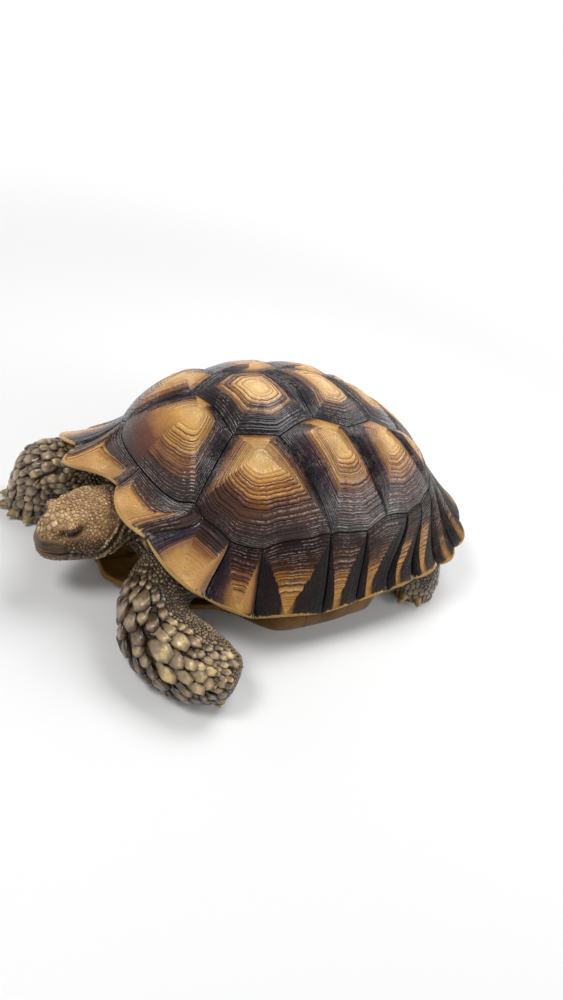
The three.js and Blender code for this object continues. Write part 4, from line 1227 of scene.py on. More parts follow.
def beakRise(turn):
    # height of the upper beak's edge over the mouth, round from the front
    share = np.clip(np.abs(turn) / math.radians(beak["sweep"]), 0, 1)
    return beak["rise"] * (1 + 0.12 * smooth(share / 0.5)) * (1 - 0.55 * smooth((share - 0.62) / 0.38))


def overBeak(p):
    # where horn, not scales, covers the face, and the line of the closed mouth
    a, z = p[:, 1], p[:, 2]
    line = mouthHeight(a)
    turn = np.arctan2(np.abs(p[:, 0]), a - beak["axis"])
    under = turn < math.radians(beak["sweep"] - 2)
    horn = under & (z > line - beak["lowerDepth"] + 0.8) & (z < line + beakRise(turn) - 0.9)
    lips = (a > mouth["corner"]) & (np.abs(z - line) < 1.3)
    return horn | lips


def headScaleSize(points, normals):
    p = shellToHead(points)
    a, z = p[:, 1], p[:, 2]
    top = smooth((normals[:, 2] - 0.35) / 0.4)
    size = 3.3 + 1.4 * smooth((a - 34) / 12) * top + 1.7 * smooth((a - 48) / 8) * top
    size = lerp(size, 2.3, smooth((27 - a - z) / 6) * (z < 17))
    # round the eye on the same side, both brought to the left
    mirror = np.stack([np.sign(p[:, 0]), np.ones(len(p)), np.ones(len(p))], -1)
    centre, gaze = eyeAxis(1)
    rel = p * mirror - centre
    ahead = rel @ gaze
    off = np.linalg.norm(rel - ahead[:, None] * gaze, axis=1)
    facing = ((shellToHead(points + normals) - p) * mirror) @ gaze
    size = lerp(1.9, size, smooth((off - 6) / 7))
    inside = (off < 8) & (ahead < np.sqrt(np.maximum(6.5 ** 2 - off ** 2, 0)))
    slit = (off < 5.2) & (np.abs(rel[:, 2]) < 2.3)
    return np.where(inside | ((off < 7) & (facing < 0.1)) | slit | overBeak(p), 0, size)


def treeOf(points):
    tree = KDTree(len(points))
    for i, point in enumerate(points):
        tree.insert(point, i)
    tree.balance()
    return tree


def relax(points, weights, count, rng):
    # spreads seeds evenly over weighted samples
    picked = rng.choice(len(points), size=count * scales["samplesPerScale"], p=weights / weights.sum())
    samples = points[picked]
    seeds = samples[rng.choice(len(samples), count, replace=False)]
    for _ in range(scales["relaxing"]):
        tree = treeOf(seeds)
        nearest = np.array([tree.find(sample)[1] for sample in samples])
        total = np.bincount(nearest, minlength=count)
        sums = np.stack([np.bincount(nearest, samples[:, axis], count) for axis in range(3)], 1)
        seeds = np.where(total[:, None] > 0, sums / np.maximum(total, 1)[:, None], seeds)
    return seeds


class Hide:
    # the skin's surface, ready for finding the nearest point and its normal
    def __init__(self, obj):
        self.points, self.normals = meshArrays(obj)
        faces = np.array([list(face.vertices) for face in obj.data.polygons if len(face.vertices) == 4])
        self.tree = BVHTree.FromPolygons(self.points.tolist(), faces.tolist())
        corners = self.points[faces]
        across = np.cross(corners[:, 2] - corners[:, 0], corners[:, 3] - corners[:, 1])
        self.areas = 0.5 * np.linalg.norm(across, axis=1)
        self.centres = (corners[:, 0] + corners[:, 1] + corners[:, 2] + corners[:, 3]) / 4
        self.faceNormals = unit(self.normals[faces].mean(1))

    def nearest(self, wanted):
        found = [self.tree.find_nearest(point) for point in wanted]
        spots, facing = (np.array([hit[i] for hit in found]) for i in (0, 1))
        gentle = self.faceNormals[[hit[2] for hit in found]]
        facing = np.where(dots(facing, gentle)[:, None] < 0, -facing, facing)
        return spots, unit(facing * 0.3 + gentle * 0.7)


hide = Hide(skin)

# eyes and lids

lid = {
    "radius": 6.6, "inner": 6.1, "halfLength": 6.0, "upper": 2.1, "lower": 1.9, "outLength": 10.5,
    "outHeight": 8.0, "around": 72, "layers": 13, "fold": 0.3, "tilt": 0.12,
}


def eyeFrame(side):
    # the eye's middle and its axes in the head: outwards, forwards, up
    centre, gaze = eyeAxis(side)
    ahead = unit(np.array([0, 1.0, -lid["tilt"]]) - gaze * (gaze[1] - lid["tilt"] * gaze[2]))
    over = np.cross(gaze, ahead)
    return centre, gaze, ahead, over * np.sign(over[2])


def headWay(way):
    return headToShell(way) - headToShell(np.zeros(3))


def skinDepth(side, x, y):
    # how far out the skin lies over each place in front of the eye
    centre, gaze, ahead, over = eyeFrame(side)
    high = 25
    hits = [hide.tree.ray_cast(Vector(origin), Vector(-headWay(gaze)))[3]
            for origin in headToShell(centre + ahead * x[:, None] + over * y[:, None] + gaze * high)]
    return np.array([0 if hit is None else high - hit for hit in hits])


def lidRings(side):
    centre, gaze, ahead, over = eyeFrame(side)
    angles = roundRing(lid["around"])
    sine = np.sin(angles)
    half = np.where(sine > 0, lid["upper"], lid["lower"])
    inner = np.stack([lid["halfLength"] * np.cos(angles), half * np.sign(sine) * np.abs(sine) ** 1.3], -1)
    outer = np.stack([lid["outLength"] * np.cos(angles), lid["outHeight"] * sine], -1)
    places = []
    for q in np.linspace(0, 1, lid["layers"]) ** 1.2:
        flat = inner + (outer - inner) * q
        far = np.hypot(*flat.T)
        ball = np.sqrt(np.maximum(lid["radius"] ** 2 - far ** 2, 0)) \
            - np.maximum(far - lid["radius"], 0) * 1.5
        ground = skinDepth(side, *flat.T) - 0.15 - 1.1 * smooth((q - 0.75) / 0.25)
        fold = lid["fold"] * np.sin(q * 2 * np.pi * 3.2) * smooth(q / 0.2) * smooth((0.8 - q) / 0.2)
        margin = 0.35 * bump(q, 0.03, 0.06)
        places.append((flat, np.maximum(ball, np.where(far > 5.2, ground, -9)) + fold + margin))
    # back under the lid, close over the eyeball
    for q in (0.75, 0.45, 0.2, 0.05):
        flat = inner + (outer - inner) * q * 0.9
        far = np.hypot(*flat.T)
        ball = np.sqrt(np.maximum(lid["inner"] ** 2 - np.minimum(far, 6.0) ** 2, 0.1))
        places.append((flat, ball - np.maximum(far - 5.5, 0) * 0.9))
    return [centre + ahead * flat[:, :1] + over * flat[:, 1:] + gaze * depth[:, None]
            for flat, depth in places]


def makeLids(side):
    rings = lidRings(side)
    rows, count = len(rings), lid["around"]
    faces = gridQuads(rows + 1, count) % (rows * count)
    return newObject("lids", headToShell(np.concatenate(rings)), [faces])


def makeEye(name, side, node):
    centre, gaze, ahead, over = eyeFrame(side)
    polar = np.linspace(0, np.pi, 26)[1:-1]
    turn = roundRing(36)
    bulge = 1 + 0.035 * bump(polar, 0, 0.6)  # the clear front stands out a little
    equator = np.cos(turn)[:, None] * ahead + np.sin(turn)[:, None] * over
    rings = [centre + eye["radius"] * out * (np.cos(p) * gaze + np.sin(p) * equator)
             for p, out in zip(polar, bulge)]
    points, faces = loft(rings, centre + gaze * eye["radius"] * 1.035, centre - gaze * eye["radius"])
    obj = newObject(name, headToShell(points), faces, {"polar": [0, *np.repeat(polar, len(turn)), np.pi]})
    finish = Finish(name + "Gloss", 0.16, 0.22, 0.1, 0.04)
    iris = finish.blend(finish.grain(900, 3), "#2a170d", "#4d2f1a")
    white = finish.grain(500, 4).ramp([(0.3, "#1d120c"), (0.7, "#35241a")])
    colour = finish.blend(finish.read("polar").ranged(0.72, 0.8), iris, white)
    finish.colour(finish.blend(finish.read("polar").ranged(0.3, 0.36, 1.0, 0.0), colour, "#060404"))
    place(obj, finish.material, "eye", node)


def joinInto(main, others):
    bpy.ops.object.select_all(action="DESELECT")
    for obj in (main, *others):
        obj.select_set(True)
    bpy.context.view_layer.objects.active = main
    bpy.ops.object.join()


makeEye("eyeball_left", 1, "eye_left")
makeEye("eyeball_right", -1, "eye_right")
joinInto(skin, [makeLids(1), makeLids(-1)])
hide = Hide(skin)
region = regionOf(hide.centres)
print("skin read:", len(hide.centres), "faces")


def unevenness(points):
    # slow changes of the tiles' size over the body
    x, y, z = points.T
    return np.sin(x / 5.3 + 1) * np.sin(y / 4.7 + 2) \
        + 0.7 * np.sin(z / 3.9 + x / 8.1) * np.sin(y / 7.7 - x / 6.1)


def layScales(part, sizeOf, rng):
    # the middles of one region's tiles, the way they face, and their sizes
    def uneven(points, facing):
        return sizeOf(points, facing) * (1 + scales["uneven"] * unevenness(points))

    mask = region == part
    centres, areas = hide.centres[mask], hide.areas[mask]
    size = uneven(centres, hide.faceNormals[mask])
    wanted = size > 0
    weights = areas[wanted] / size[wanted] ** 2
    spots, facing = hide.nearest(relax(centres[wanted], weights, int(weights.sum() / scales["packing"]), rng))
    size = uneven(spots, facing)
    return spots, facing, np.where(size <= 0, scales["least"], size)


def bordersOf(tiles):
    # towards each neighbour: its bearing, and how far off the border between the two tiles is
    tree = treeOf(tiles["spot"])
    near = np.array([[hit[1] for hit in tree.find_n(spot, scales["neighbours"])][1:]
                     for spot in tiles["spot"]])
    rel = tiles["spot"][near] - tiles["spot"][:, None]
    x, y = (dots(rel, tiles[way][:, None]) for way in ("ahead", "aside"))
    size = tiles["size"][:, None]
    return np.arctan2(y, x), size / (size + tiles["size"][near]) * np.hypot(x, y)


def tileReach(tiles, angles, closeness):
    # how far each tile reaches at each angle: to its borders, rounded, and drawn out at its tip
    turn = np.cos(angles[None, :, None] - tiles["bearing"][:, None, :])
    reach = np.where(turn > 0.15, tiles["border"][:, None, :] / np.maximum(turn, 0.15), 1e9).min(2)
    reach = np.minimum(reach, 0.72 * tiles["size"][:, None])
    reach = np.minimum(reach, (np.roll(reach, 1, 1) + np.roll(reach, -1, 1) + 2 * reach) / 4 * 1.03)
    drawn = scales["tip"] * np.maximum(np.cos(angles), 0) ** 4 - 0.08
    return reach * (1 + tiles["pointed"][:, None] * drawn) * closeness


# each kind's rings: share of the tile's outline, height, how much it leans up towards its tip
tileKinds = {
    "small": {"around": 8, "closeness": 0.965, "height": 0.3, "power": 0.95, "crown": 1.0,
              "rings": [(0.97, -0.5, 0, 0.2), (0.88, 0, 0.35, 1.0), (0.52, 0, 0.9, 1.0)]},
    "big": {"around": 14, "closeness": 0.985, "height": 0.115, "power": 0.9, "crown": 1.04,
            "rings": [(0.99, -0.6, 0, 0.35), (0.98, 0, 0.2, 0.8), (0.91, 0, 0.8, 1.0), (0.62, 0, 0.96, 1.0),
                      (0.3, 0, 1.02, 1.0)]},
}


def makeTiles(tiles, kind, bulge, keeled, rng):
    # points and faces of the tiles of one kind, and what the material and the map need of each point
    around, count, size = kind["around"], len(tiles["size"]), tiles["size"][:, None]
    angles = roundRing(around) + np.pi / around
    reach = tileReach(tiles, angles, kind["closeness"])
    height = bulge * kind["height"] * size ** kind["power"]
    bend = angles + rng.normal(0, 0.06, (count, 1))
    pointed = tiles["pointed"][:, None]
    lean = (scales["lean"] * pointed + 0.02) * size
    follow = tiles["size"] >= scales["followFrom"]
    spot, facing, ahead, aside = (tiles[key][:, None] for key in ("spot", "facing", "ahead", "aside"))
    layers, tips, shares = [], [], [ring[0] for ring in kind["rings"]]
    for share, sunk, rise, leaning in kind["rings"]:
        x, y = np.cos(bend) * reach * share, np.sin(bend) * reach * share
        flat = spot + ahead * x[..., None] + aside * y[..., None]
        up = np.repeat(facing, around, 1)
        if follow.any():
            ground, slopes = hide.nearest(flat[follow].reshape(-1, 3))
            flat[follow] = ground.reshape(-1, around, 3)
            up[follow] = unit(slopes.reshape(-1, around, 3) + up[follow])
        high = sunk + height * rise + leaning * lean * smooth(x / size + 0.35) * 0.8
        if keeled:
            high = high + 0.1 * size * pointed * bump(y / size, 0, 0.16) * (1 - share)
        layers.append(flat + up * high[..., None])
        tips.append(x / size)
    base = spot - facing * 0.8
    top = spot + facing * (height * kind["crown"] + 0.3 * lean)[..., None]
    block = np.concatenate([*layers, base, top], axis=1)
    per, rows = block.shape[1], len(layers)
    pattern = [gridQuads(rows, around), fan(0, around, per - 2, True),
               fan((rows - 1) * around, around, per - 1)]
    starts = (np.arange(count) * per)[:, None, None]
    faces = [(lists[None] + starts).reshape(-1, lists.shape[1]) for lists in pattern]
    ends = np.zeros((count, 1))
    disc = np.stack([np.cos(angles), np.sin(angles)], -1)
    local = np.concatenate([disc * share for share in shares] + [np.zeros((2, 2))])
    values = {
        "rim": np.tile([*np.repeat(shares, around), 1, 0], count),
        "tip": np.concatenate([*tips, ends, ends], 1),
        "tone": np.repeat(rng.random(count), per), "pale": np.repeat(tiles["pale"], per),
        "warm": np.repeat(tiles["warm"], per), "map": tiles["root"][:, None] + local * scales["patch"],
    }
    return (block.reshape(-1, 3), faces), values


def makeScales(name, coat, seed):
    # tiles over one region, joined into one mesh
    rng = np.random.default_rng(scales["seed"] + seed)
    spot, facing, size = layScales(coat["part"], coat["size"], rng)
    lie = coat["lie"](spot)
    ahead = unit(lie - facing * dots(lie, facing)[:, None])
    tiles = {
        "spot": spot, "facing": facing, "size": size, "ahead": ahead, "aside": np.cross(facing, ahead),
        "pointed": coat["pointed"] * smooth((size - 3.5) / 4), "pale": coat["tone"](spot, facing),
        "warm": warmth(spot), "root": coat["unwrap"](spot),
    }
    tiles["bearing"], tiles["border"] = bordersOf(tiles)
    forms, values = [], []
    for kind in ("small", "big"):
        chosen = (size >= scales["bigFrom"]) == (kind == "big")
        if chosen.any():
            form, floats = makeTiles({key: rows[chosen] for key, rows in tiles.items()}, tileKinds[kind],
                                     coat["bulge"], kind == "big", rng)
            forms.append(form)
            values.append(floats)
    points, faces = joined(forms)
    points[:, 2] = np.maximum(points[:, 2], 0.0)
    floats = {key: np.concatenate([group[key].ravel() for group in values]) for key in values[0]}
    places = floats.pop("map").reshape(-1, 2)
    obj = newObject(name, points, faces, floats)
    corner = np.empty(len(obj.data.loops), np.int32)
    obj.data.loops.foreach_get("vertex_index", corner)
    layer = obj.data.uv_layers.new(name="OFBake")
    layer.data.foreach_set("uv", places[corner].astype(np.float32).ravel())
    triangles = sum(len(f) * (f.shape[1] - 2) for f in faces)
    print(name, len(spot), "scales,", triangles, "triangles")
    return obj


def onMap(u, v):
    # shares of a map, kept off its border
    return np.stack([0.04 + 0.92 * np.clip(u, 0, 1), 0.04 + 0.92 * np.clip(v, 0, 1)], -1)


def unwrapLimb(name):
    def unwrap(points):
        share, turn, _, _ = alongLimb(name, points)
        return onMap((turn + np.pi) / (2 * np.pi), (share + 0.2) / 1.5)
    return unwrap


def unwrapHead(points):
    p = shellToHead(points)
    return onMap((np.arctan2(p[:, 2], p[:, 0]) + np.pi) / (2 * np.pi), (p[:, 1] + 10) / 85)


def unwrapPocket(points):
    # the front openings on the map's lower half, the rear ones on its upper half
    x, y, z = points.T
    front, rear = 0.4 * np.clip((y + 160) / 130, 0, 1), 0.5 + 0.4 * np.clip((y - 100) / 150, 0, 1)
    u = 0.04 + 0.92 * np.clip((x + 140) / 280, 0, 1)
    return np.stack([u, 0.04 + np.where(y < 20, front, rear) + 0.0005 * z], -1)


# beak

def hornPatch(name, lowAt, highAt, thickAt):
    # a curved horn plate over the face, between two heights round the snout
    rows, count, far = beak["rows"], beak["around"], 60
    turns = np.radians(np.linspace(-beak["sweep"], beak["sweep"], count))
    way = np.stack([np.sin(turns), np.cos(turns), np.zeros(count)], -1)
    outer, inner = [], []
    for row in np.linspace(0, 1, rows):
        heights = lerp(lowAt(turns), highAt(turns), row)
        axis = np.stack([np.zeros(count), np.full(count, beak["axis"]), heights], -1)
        starts, origins = headToShell(axis), headToShell(axis + way * far)
        reach = np.array([far - hide.tree.ray_cast(Vector(origin), Vector(start - origin).normalized())[3]
                          for start, origin in zip(starts, origins)])
        reach = np.convolve(np.pad(reach, 2, mode="edge"), [0.1, 0.2, 0.4, 0.2, 0.1], "valid")
        base = axis + way * reach[:, None]
        outer.append(base + way * thickAt(turns, row)[:, None])
        inner.append(base - way * 1.2)
    grid = np.arange(rows * count).reshape(rows, count)
    rim = np.concatenate([grid[0], grid[1:, -1], grid[-1, -2::-1], grid[-2:0:-1, 0]])
    after = np.roll(rim, -1)
    front = gridQuads(rows, count, False)
    faces = [front, front[:, ::-1] + grid.size, np.stack([after, rim, rim + grid.size, after + grid.size], 1)]
    rise = np.tile(np.repeat(np.linspace(0, 1, rows), count), 2)
    return newObject(name, headToShell(np.concatenate(outer + inner)), faces, {"rise": rise})


def alongAt(turn):
    return beak["axis"] + 27 * np.cos(turn)


def upperLow(turn):
    teeth = beak["teeth"] * np.cos(turn * 60) * smooth((np.cos(turn) - 0.2) / 0.3)
    return mouthHeight(alongAt(turn)) - 0.3 - beak["hook"] * bump(turn, 0, 0.22) + teeth


def upperHigh(turn):
    return mouthHeight(alongAt(turn)) + beakRise(turn)


def beakEnds(turn):
    # 0 at the plates' back ends, 1 soon before them
    return smooth((math.radians(beak["sweep"]) - np.abs(turn)) / 0.2)


def upperThick(turn, row):
    full = beak["horn"] + beak["lip"] * (1 - row) ** 2 + 0.5 * bump(turn, 0, 0.3) * (1 - row)
    return lerp(-0.5, full, beakEnds(turn) * smooth((1 - row) / 0.16))


def lowerHigh(turn):
    return mouthHeight(alongAt(turn)) - beak["gap"]


def lowerLow(turn):
    return lowerHigh(turn) - beak["lowerDepth"] * (0.55 + 0.45 * np.cos(turn))


def lowerThick(turn, row):
    return lerp(-0.5, beak["horn"] * 0.75, beakEnds(turn) * smooth(row / 0.35))


def hornMaterial(name, stops, edge=None):
    # edge: how far up the horn begins to take the colour of the hide
    finish = Finish(name, 0.38, 0.3, 0.12, 0.25)
    streaks = finish.grain(240, 4, 0.6, (0.35, 0.35, 2.2))
    colour = streaks.ramp(stops)
    if edge:
        rise = finish.read("rise") + finish.grain(260, 4) * 0.3
        colour = finish.blend(rise.ranged(edge, edge + 0.35), colour, "#8c6a45")
    finish.colour(colour)
    finish.relief(streaks + finish.grain(1400, 4), 0.0003, 0.5)
    return finish.material


upperHorn = hornMaterial("upperBeakHorn", [(0.3, "#2a1806"), (0.45, "#483113"), (0.6, "#634825"),
                                           (0.78, "#846538")], edge=0.8)
lowerHorn = hornMaterial("lowerBeakHorn", [(0.3, "#3a260e"), (0.45, "#5c431f"), (0.6, "#7a5d31"),
                                           (0.78, "#997c4a")])
place(hornPatch("upperBeak", upperLow, upperHigh, upperThick), upperHorn, "beak")
place(hornPatch("lowerBeak", lowerLow, lowerHigh, lowerThick), lowerHorn, "beak")

# claws

claws = {"radius": 6.2, "length": 15, "root": 7, "flatness": 0.75, "droop": 2.6, "sides": 16, "steps": 12,
         "outerSize": 0.8, "ridge": 0.05}
# each foot's claws stand on an oval with the half axes forward and aside, and lean from it
clawRows = {
    "frontLeft": {"at": (164, -118, 27), "forward": (8, -15, 0), "aside": (1, 0, 18), "lean": (1.7, 0.9, 0),
                  "count": 5, "spread": 85},
    "frontRight": {"at": (-95, -161, 7), "forward": (-5, -24, 0), "aside": (-24, 5, 0), "lean": (0, -0.7, -0.05),
                   "count": 5, "spread": 62},
    "rearLeft": {"at": (132, 153, 7), "forward": (8, -25, 0), "aside": (25, 8, 0), "lean": (0, -0.5, -0.05),
                 "count": 4, "spread": 50},
    "rearRight": {"at": (-132, 153, 7), "forward": (-8, -25, 0), "aside": (-25, 8, 0), "lean": (0, -0.5, -0.05),
                  "count": 4, "spread": 50},
}


def clawForm(base, direction, size):
    along = unit(direction)
    across = unit(np.cross(along, [0, 0, 1.0]))
    above = np.cross(across, along)
    angles = roundRing(claws["sides"])
    flat = claws["flatness"] * np.where(np.sin(angles) < 0, 0.72, 1.0)
    section = np.cos(angles)[:, None] * across + (flat * np.sin(angles))[:, None] * above

    def middle(t):
        shift = lerp(-claws["root"], claws["length"], t)
        return base + (along * shift - above * claws["droop"] * t ** 2) * size

    rings = []
    for t in np.linspace(0, 0.97, claws["steps"]):
        wide = claws["radius"] * size * (1 - t ** 2.2) ** 0.62 * (0.82 + 0.18 * smooth(t / 0.25))
        rings.append(middle(t) + wide * (1 + claws["ridge"] * np.cos(t * 40) * (1 - t)) * section)
    points, faces = loft(rings, base - along * claws["root"] * size * 1.1, middle(1))
    points[:, 2] = np.maximum(points[:, 2], 0.0)
    return points, faces


def makeClaws(name, row):
    forms = []
    for turn in np.linspace(-1, 1, row["count"]):
        angle = math.radians(turn * row["spread"])
        outwards = np.array(row["forward"]) * math.cos(angle) + np.array(row["aside"]) * math.sin(angle)
        forms.append(clawForm(np.array(row["at"]) + outwards, unit(outwards) + np.array(row["lean"]),
                              lerp(1, claws["outerSize"], abs(turn))))
    return newObject(name, *joined(forms))


clawHorn = hornMaterial("clawHorn", [(0.3, "#5a4528"), (0.45, "#8a7040"), (0.6, "#b09459"), (0.8, "#cdb582")])
for foot, row in clawRows.items():
    place(makeClaws("claws_" + foot, row), clawHorn, "claw")
print("beak and claws made")

# colours of the hide, the same over skin and scales

def headShare(points):
    p, off = headParts(points)
    return smooth((p[:, 1] + 6) / 14) * smooth((62 - off) / 6)


def warmth(points):
    # the head's hide is pinker than the limbs', most of all on the crown
    return headShare(points) * (0.45 + 0.55 * smooth((shellToHead(points)[:, 2] - 2) / 12))


def roundEyes(points):
    # distance from the nearer eye's opening, 1 at the lids' edge
    p = shellToHead(points)
    found = np.full(len(p), 9.0)
    for side in (-1, 1):
        centre, gaze, ahead, over = eyeFrame(side)
        rel = p - centre
        far = np.hypot((rel @ ahead) / (lid["halfLength"] + 0.6), (rel @ over) / (lid["upper"] + 0.6))
        found = np.where(rel @ gaze > 0, np.minimum(found, far), found)
    return found


def markings(points):
    # how pale the hide is over each place of the body, 0 dark to 1 straw
    p = shellToHead(points)
    a, z = p[:, 1], p[:, 2]
    crown = 0.68 + 0.1 * bump(a, 50, 8) * bump(z, 25, 4)
    # the lower jaw is pale; the cheek above it is darker as painted shade
    jaw = lerp(0.56, 0.4, smooth((z + 12) / 6))
    face = lerp(jaw, crown, smooth((z - 3) / 11))
    eyes = roundEyes(points)
    face = face + 0.06 * bump(eyes, 2.6, 0.9) - 0.5 * smooth((1.9 - eyes) / 0.8)
    # painted shade in front of the eye
    face = face - 0.3 * bump(a, 58, 4) * bump(z, 15, 4)  # before the eye
    face = face - 0.6 * toMouth(a, z, 1.8)
    limb = 0.42 - 0.2 * smooth((24 - points[:, 2]) / 24)
    folds, strength = neckFolds(points)
    neck = smooth((a + 60) / 20) * smooth((46 - np.hypot(p[:, 0], z)) / 6)
    # the neck is dark as painted shade, with its folds' crests pale straw
    limb = lerp(limb, 0.2 + 0.72 * smooth((folds + 0.1) / 0.9) * strength, neck)
    level = lerp(limb, face, headShare(points))
    # near the head the folds' troughs are darker as painted shade, their crests paler
    crests = lerp(-0.3, 0.5, smooth((folds + 0.3) / 0.9))
    return level + crests * strength * headShare(points)


hideStops = [(0.0, "#1f1409"), (0.3, "#523e2a"), (0.55, "#857056"), (0.8, "#ab926b"), (1.0, "#dabd80")]
warmStops = [(0.0, "#23120a"), (0.3, "#684629"), (0.55, "#a37d55"), (0.8, "#c8a677"), (1.0, "#e6cb9e")]


def hideColour(finish, level):
    return finish.blend(finish.read("warm"), level.ramp(hideStops), level.ramp(warmStops))


def scaleMaterial():
    finish = Finish("scaleHide", 0.28, 0.42, 0.42, 0.12)
    wear = finish.grain(320, 4, 0.6)
    tone = finish.read("tone").ranged(0, 1, -0.14, 0.12)
    level = finish.read("pale") + (tone + wear.ranged(0.3, 0.7, -0.12, 0.12))
    # the head's tiles stand out less from the hide between them
    calm = 1.0 - finish.read("warm") * 0.3
    edge = finish.read("rim").ranged(0.68, 0.97, 0.0, -0.42) * calm
    # each tile is lighter towards its raised tip as painted highlight, and darker at its root, under the tile
    # behind, as painted shade
    tip = finish.read("tip").ranged(0.15, 0.7, 0.0, 0.36) + finish.read("tip").ranged(-0.5, 0.1, -0.2, 0.0)
    finish.colour(hideColour(finish, level + (edge + tip)))
    finish.relief(wear + finish.grain(1500, 3), 0.00035, 0.6)
    return finish.material


def skinMaterial():
    finish = Finish("skinHide", 0.55, 0.3)
    wrinkles = finish.grain(700, 5, 0.65)
    depth = finish.read("warm") * 0.42 + 0.42
    finish.colour(hideColour(finish, finish.read("pale") * depth + wrinkles.ranged(0.3, 0.7, -0.12, 0.1)))
    finish.relief(wrinkles, 0.0006, 0.7)
    return finish.material


addFloat(skin.data, "pale", markings(hide.points))
addFloat(skin.data, "warm", warmth(hide.points))
place(skin, skinMaterial(), "skin", "trunk", "neck", "head", "jaw", "tail", "front_leg_left",
      "front_leg_right", "rear_leg_left", "rear_leg_right")


def headLie(points):
    # on the head the scales lie backwards
    return np.repeat(headWay([[0, -1, 0]]), len(points), axis=0)


def pocketLie(points):
    return np.tile([0, -1.0, 0.1], (len(points), 1))


def limbLie(limb):
    return lambda points: alongLimb(limb, points)[3]


def armTone(points, normals):
    # the scales over the left wrist are straw coloured
    share = alongLimb("frontLeft", points)[0]
    wrist = smooth((share - 0.5) / 0.2) * smooth((normals[:, 2] + 0.15) / 0.45)
    return markings(points) + 0.27 * wrist + 0.14 * bump(share, 0.22, 0.12) - 0.13


def coatOf(part, size, lie=None, unwrap=None, pointed=0, bulge=1.0, tone=None):
    # bulge: how far each tile stands out; pointed: 1 where its large tiles are drawn to a point
    return {"part": part, "size": size, "lie": lie or limbLie(part), "unwrap": unwrap or unwrapLimb(part),
            "pointed": pointed, "bulge": bulge, "tone": tone or (lambda points, normals: markings(points))}


coats = [
    coatOf("head", headScaleSize, headLie, unwrapHead, bulge=0.95),
    coatOf("neck", evenSize(2.4), bulge=0.6),
    coatOf("tail", evenSize(3.6)),
    coatOf("pocket", evenSize(3.8), pocketLie, unwrapPocket),
    coatOf("frontLeft", armSizes("frontLeft"), pointed=1, tone=armTone),
    coatOf("frontRight", armSizes("frontRight"), pointed=1),
    coatOf("rearLeft", legSizes("rearLeft"), pointed=1),
    coatOf("rearRight", legSizes("rearRight"), pointed=1),
]
scaleHide = scaleMaterial()
for number, coat in enumerate(coats):
    place(makeScales(coat["part"] + "Scales", coat, number), scaleHide, "skin")
print("scales laid")

# camera, floor and light
view = {
    "at": (422.8, -447.9, 523.1), "forward": (-0.5104, 0.6202, -0.5957), "up": (-0.639, 0.1901, 0.7454),
    "lens": 27.95, "sensor": 36,
}
stage = {
    "floorHalf": 200, "floorDrop": 0.0004, "floorSeen": 0.9, "floorBounce": 0.4, "fadeFrom": 0.42, "fadeTo": 1.0,
    # the sky's white band, as sines of its height
    "horizon": 1.0, "zenith": 0.1, "bandTop": 0.42, "bandFade": 0.14,
    "lamps": {
        "keyLamp": {"at": (-0.1, -1.05, 1.4), "size": (0.5, 0.5), "power": 12.5},
        "crownLamp": {"at": (-0.15, 0.5, 1.3), "size": (0.75, 0.75), "power": 11},
        "sideLamp": {"at": (0.95, 1.05, 0.6), "size": (0.6, 0.6), "power": 6},
    },
}


def makeCamera():
    camera = bpy.data.cameras.new("viewCamera")
    camera.sensor_width = view["sensor"]
    camera.lens = view["lens"]
    camera.clip_start = 0.01
    camera.clip_end = 1000
    holder = bpy.data.objects.new("viewCamera", camera)
    bpy.context.scene.collection.objects.link(holder)
    holder.location = Vector(toRow(list(view["at"])))
    forward = Vector(view["forward"]).normalized()
    right = forward.cross(Vector(view["up"])).normalized()
    over = right.cross(forward).normalized()
    holder.rotation_euler = Matrix((right, over, -forward)).transposed().to_euler()
    bpy.context.scene.camera = holder


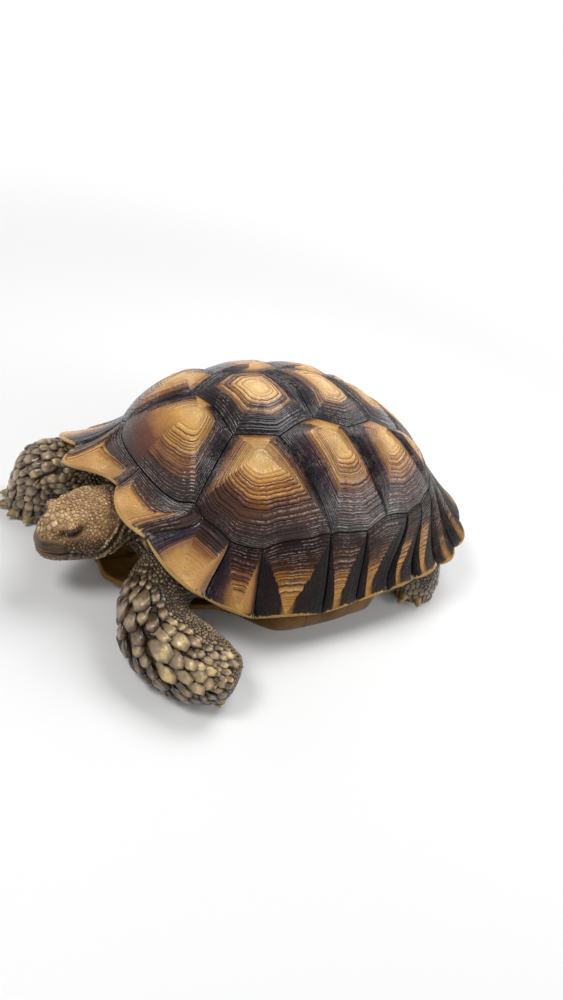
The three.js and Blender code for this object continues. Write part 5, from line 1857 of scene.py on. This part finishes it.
def makeFloor():
    # a pale floor that takes the shadow close by and is plain white further off
    half, drop = stage["floorHalf"], stage["floorDrop"]
    mesh = bpy.data.meshes.new("floor")
    mesh.from_pydata([(-half, -half, -drop), (half, -half, -drop), (half, half, -drop), (-half, half, -drop)], [],
                     [(0, 1, 2, 3)])
    floor = bpy.data.objects.new("floor", mesh)
    bpy.context.scene.collection.objects.link(floor)
    finish = Finish("paleFloor", 0.85)
    way = finish.add("ShaderNodeTexCoord", {})
    distance = finish.add("ShaderNodeVectorMath", {0: way.outputs["Object"]})
    distance.operation = "LENGTH"
    far = Value(finish, distance.outputs["Value"]).ranged(stage["fadeFrom"], stage["fadeTo"])
    rays = finish.add("ShaderNodeLightPath", {})
    seen, glossy, through = (Value(finish, rays.outputs[f"Is {kind} Ray"])
                             for kind in ("Camera", "Glossy", "Transmission"))
    seen = seen.larger(glossy.larger(through))
    # the floor looks pale but throws little light back up
    finish.colour(seen.ranged(0, 1, stage["floorBounce"], stage["floorSeen"]).grey())
    white = finish.add("ShaderNodeEmission", {})
    blend = finish.add("ShaderNodeMixShader", {"Fac": far * seen, 1: finish.shader.outputs["BSDF"],
                                               2: white.outputs["Emission"]})
    output = next(node for node in finish.tree.nodes if node.type == "OUTPUT_MATERIAL")
    finish.put(output.inputs["Surface"], blend.outputs["Shader"])
    mesh.materials.append(finish.material)


def makeLight():
    # a white band round the horizon under a dark sky, and three lamps
    world = bpy.data.worlds.new("studio")
    bpy.context.scene.world = world
    world.use_nodes = True
    sky = Nodes(world.node_tree)
    soft = sky.tree.nodes["Background"]
    soft.inputs["Color"].default_value = (1, 1, 1, 1)
    way = sky.add("ShaderNodeTexCoord", {}).outputs["Generated"]
    height = Value(sky, sky.add("ShaderNodeSeparateXYZ", {"Vector": way}).outputs["Z"])
    sky.put(soft.inputs["Strength"], height.ranged(stage["bandTop"], stage["bandTop"] + stage["bandFade"],
                                                   stage["horizon"], stage["zenith"]))
    for name, lamp in stage["lamps"].items():
        light = bpy.data.lights.new(name, "AREA")
        light.shape = "RECTANGLE"
        light.size, light.size_y = lamp["size"]
        light.energy = lamp["power"]
        holder = bpy.data.objects.new(name, light)
        bpy.context.scene.collection.objects.link(holder)
        holder.location = lamp["at"]
        holder.visible_camera = False
        holder.rotation_euler = (Vector((0, 0, 0.1)) - Vector(lamp["at"])).to_track_quat("-Z", "Y").to_euler()


makeCamera()
makeFloor()
makeLight()
bpy.context.scene.view_settings.view_transform = "Standard"
print("stage ready")
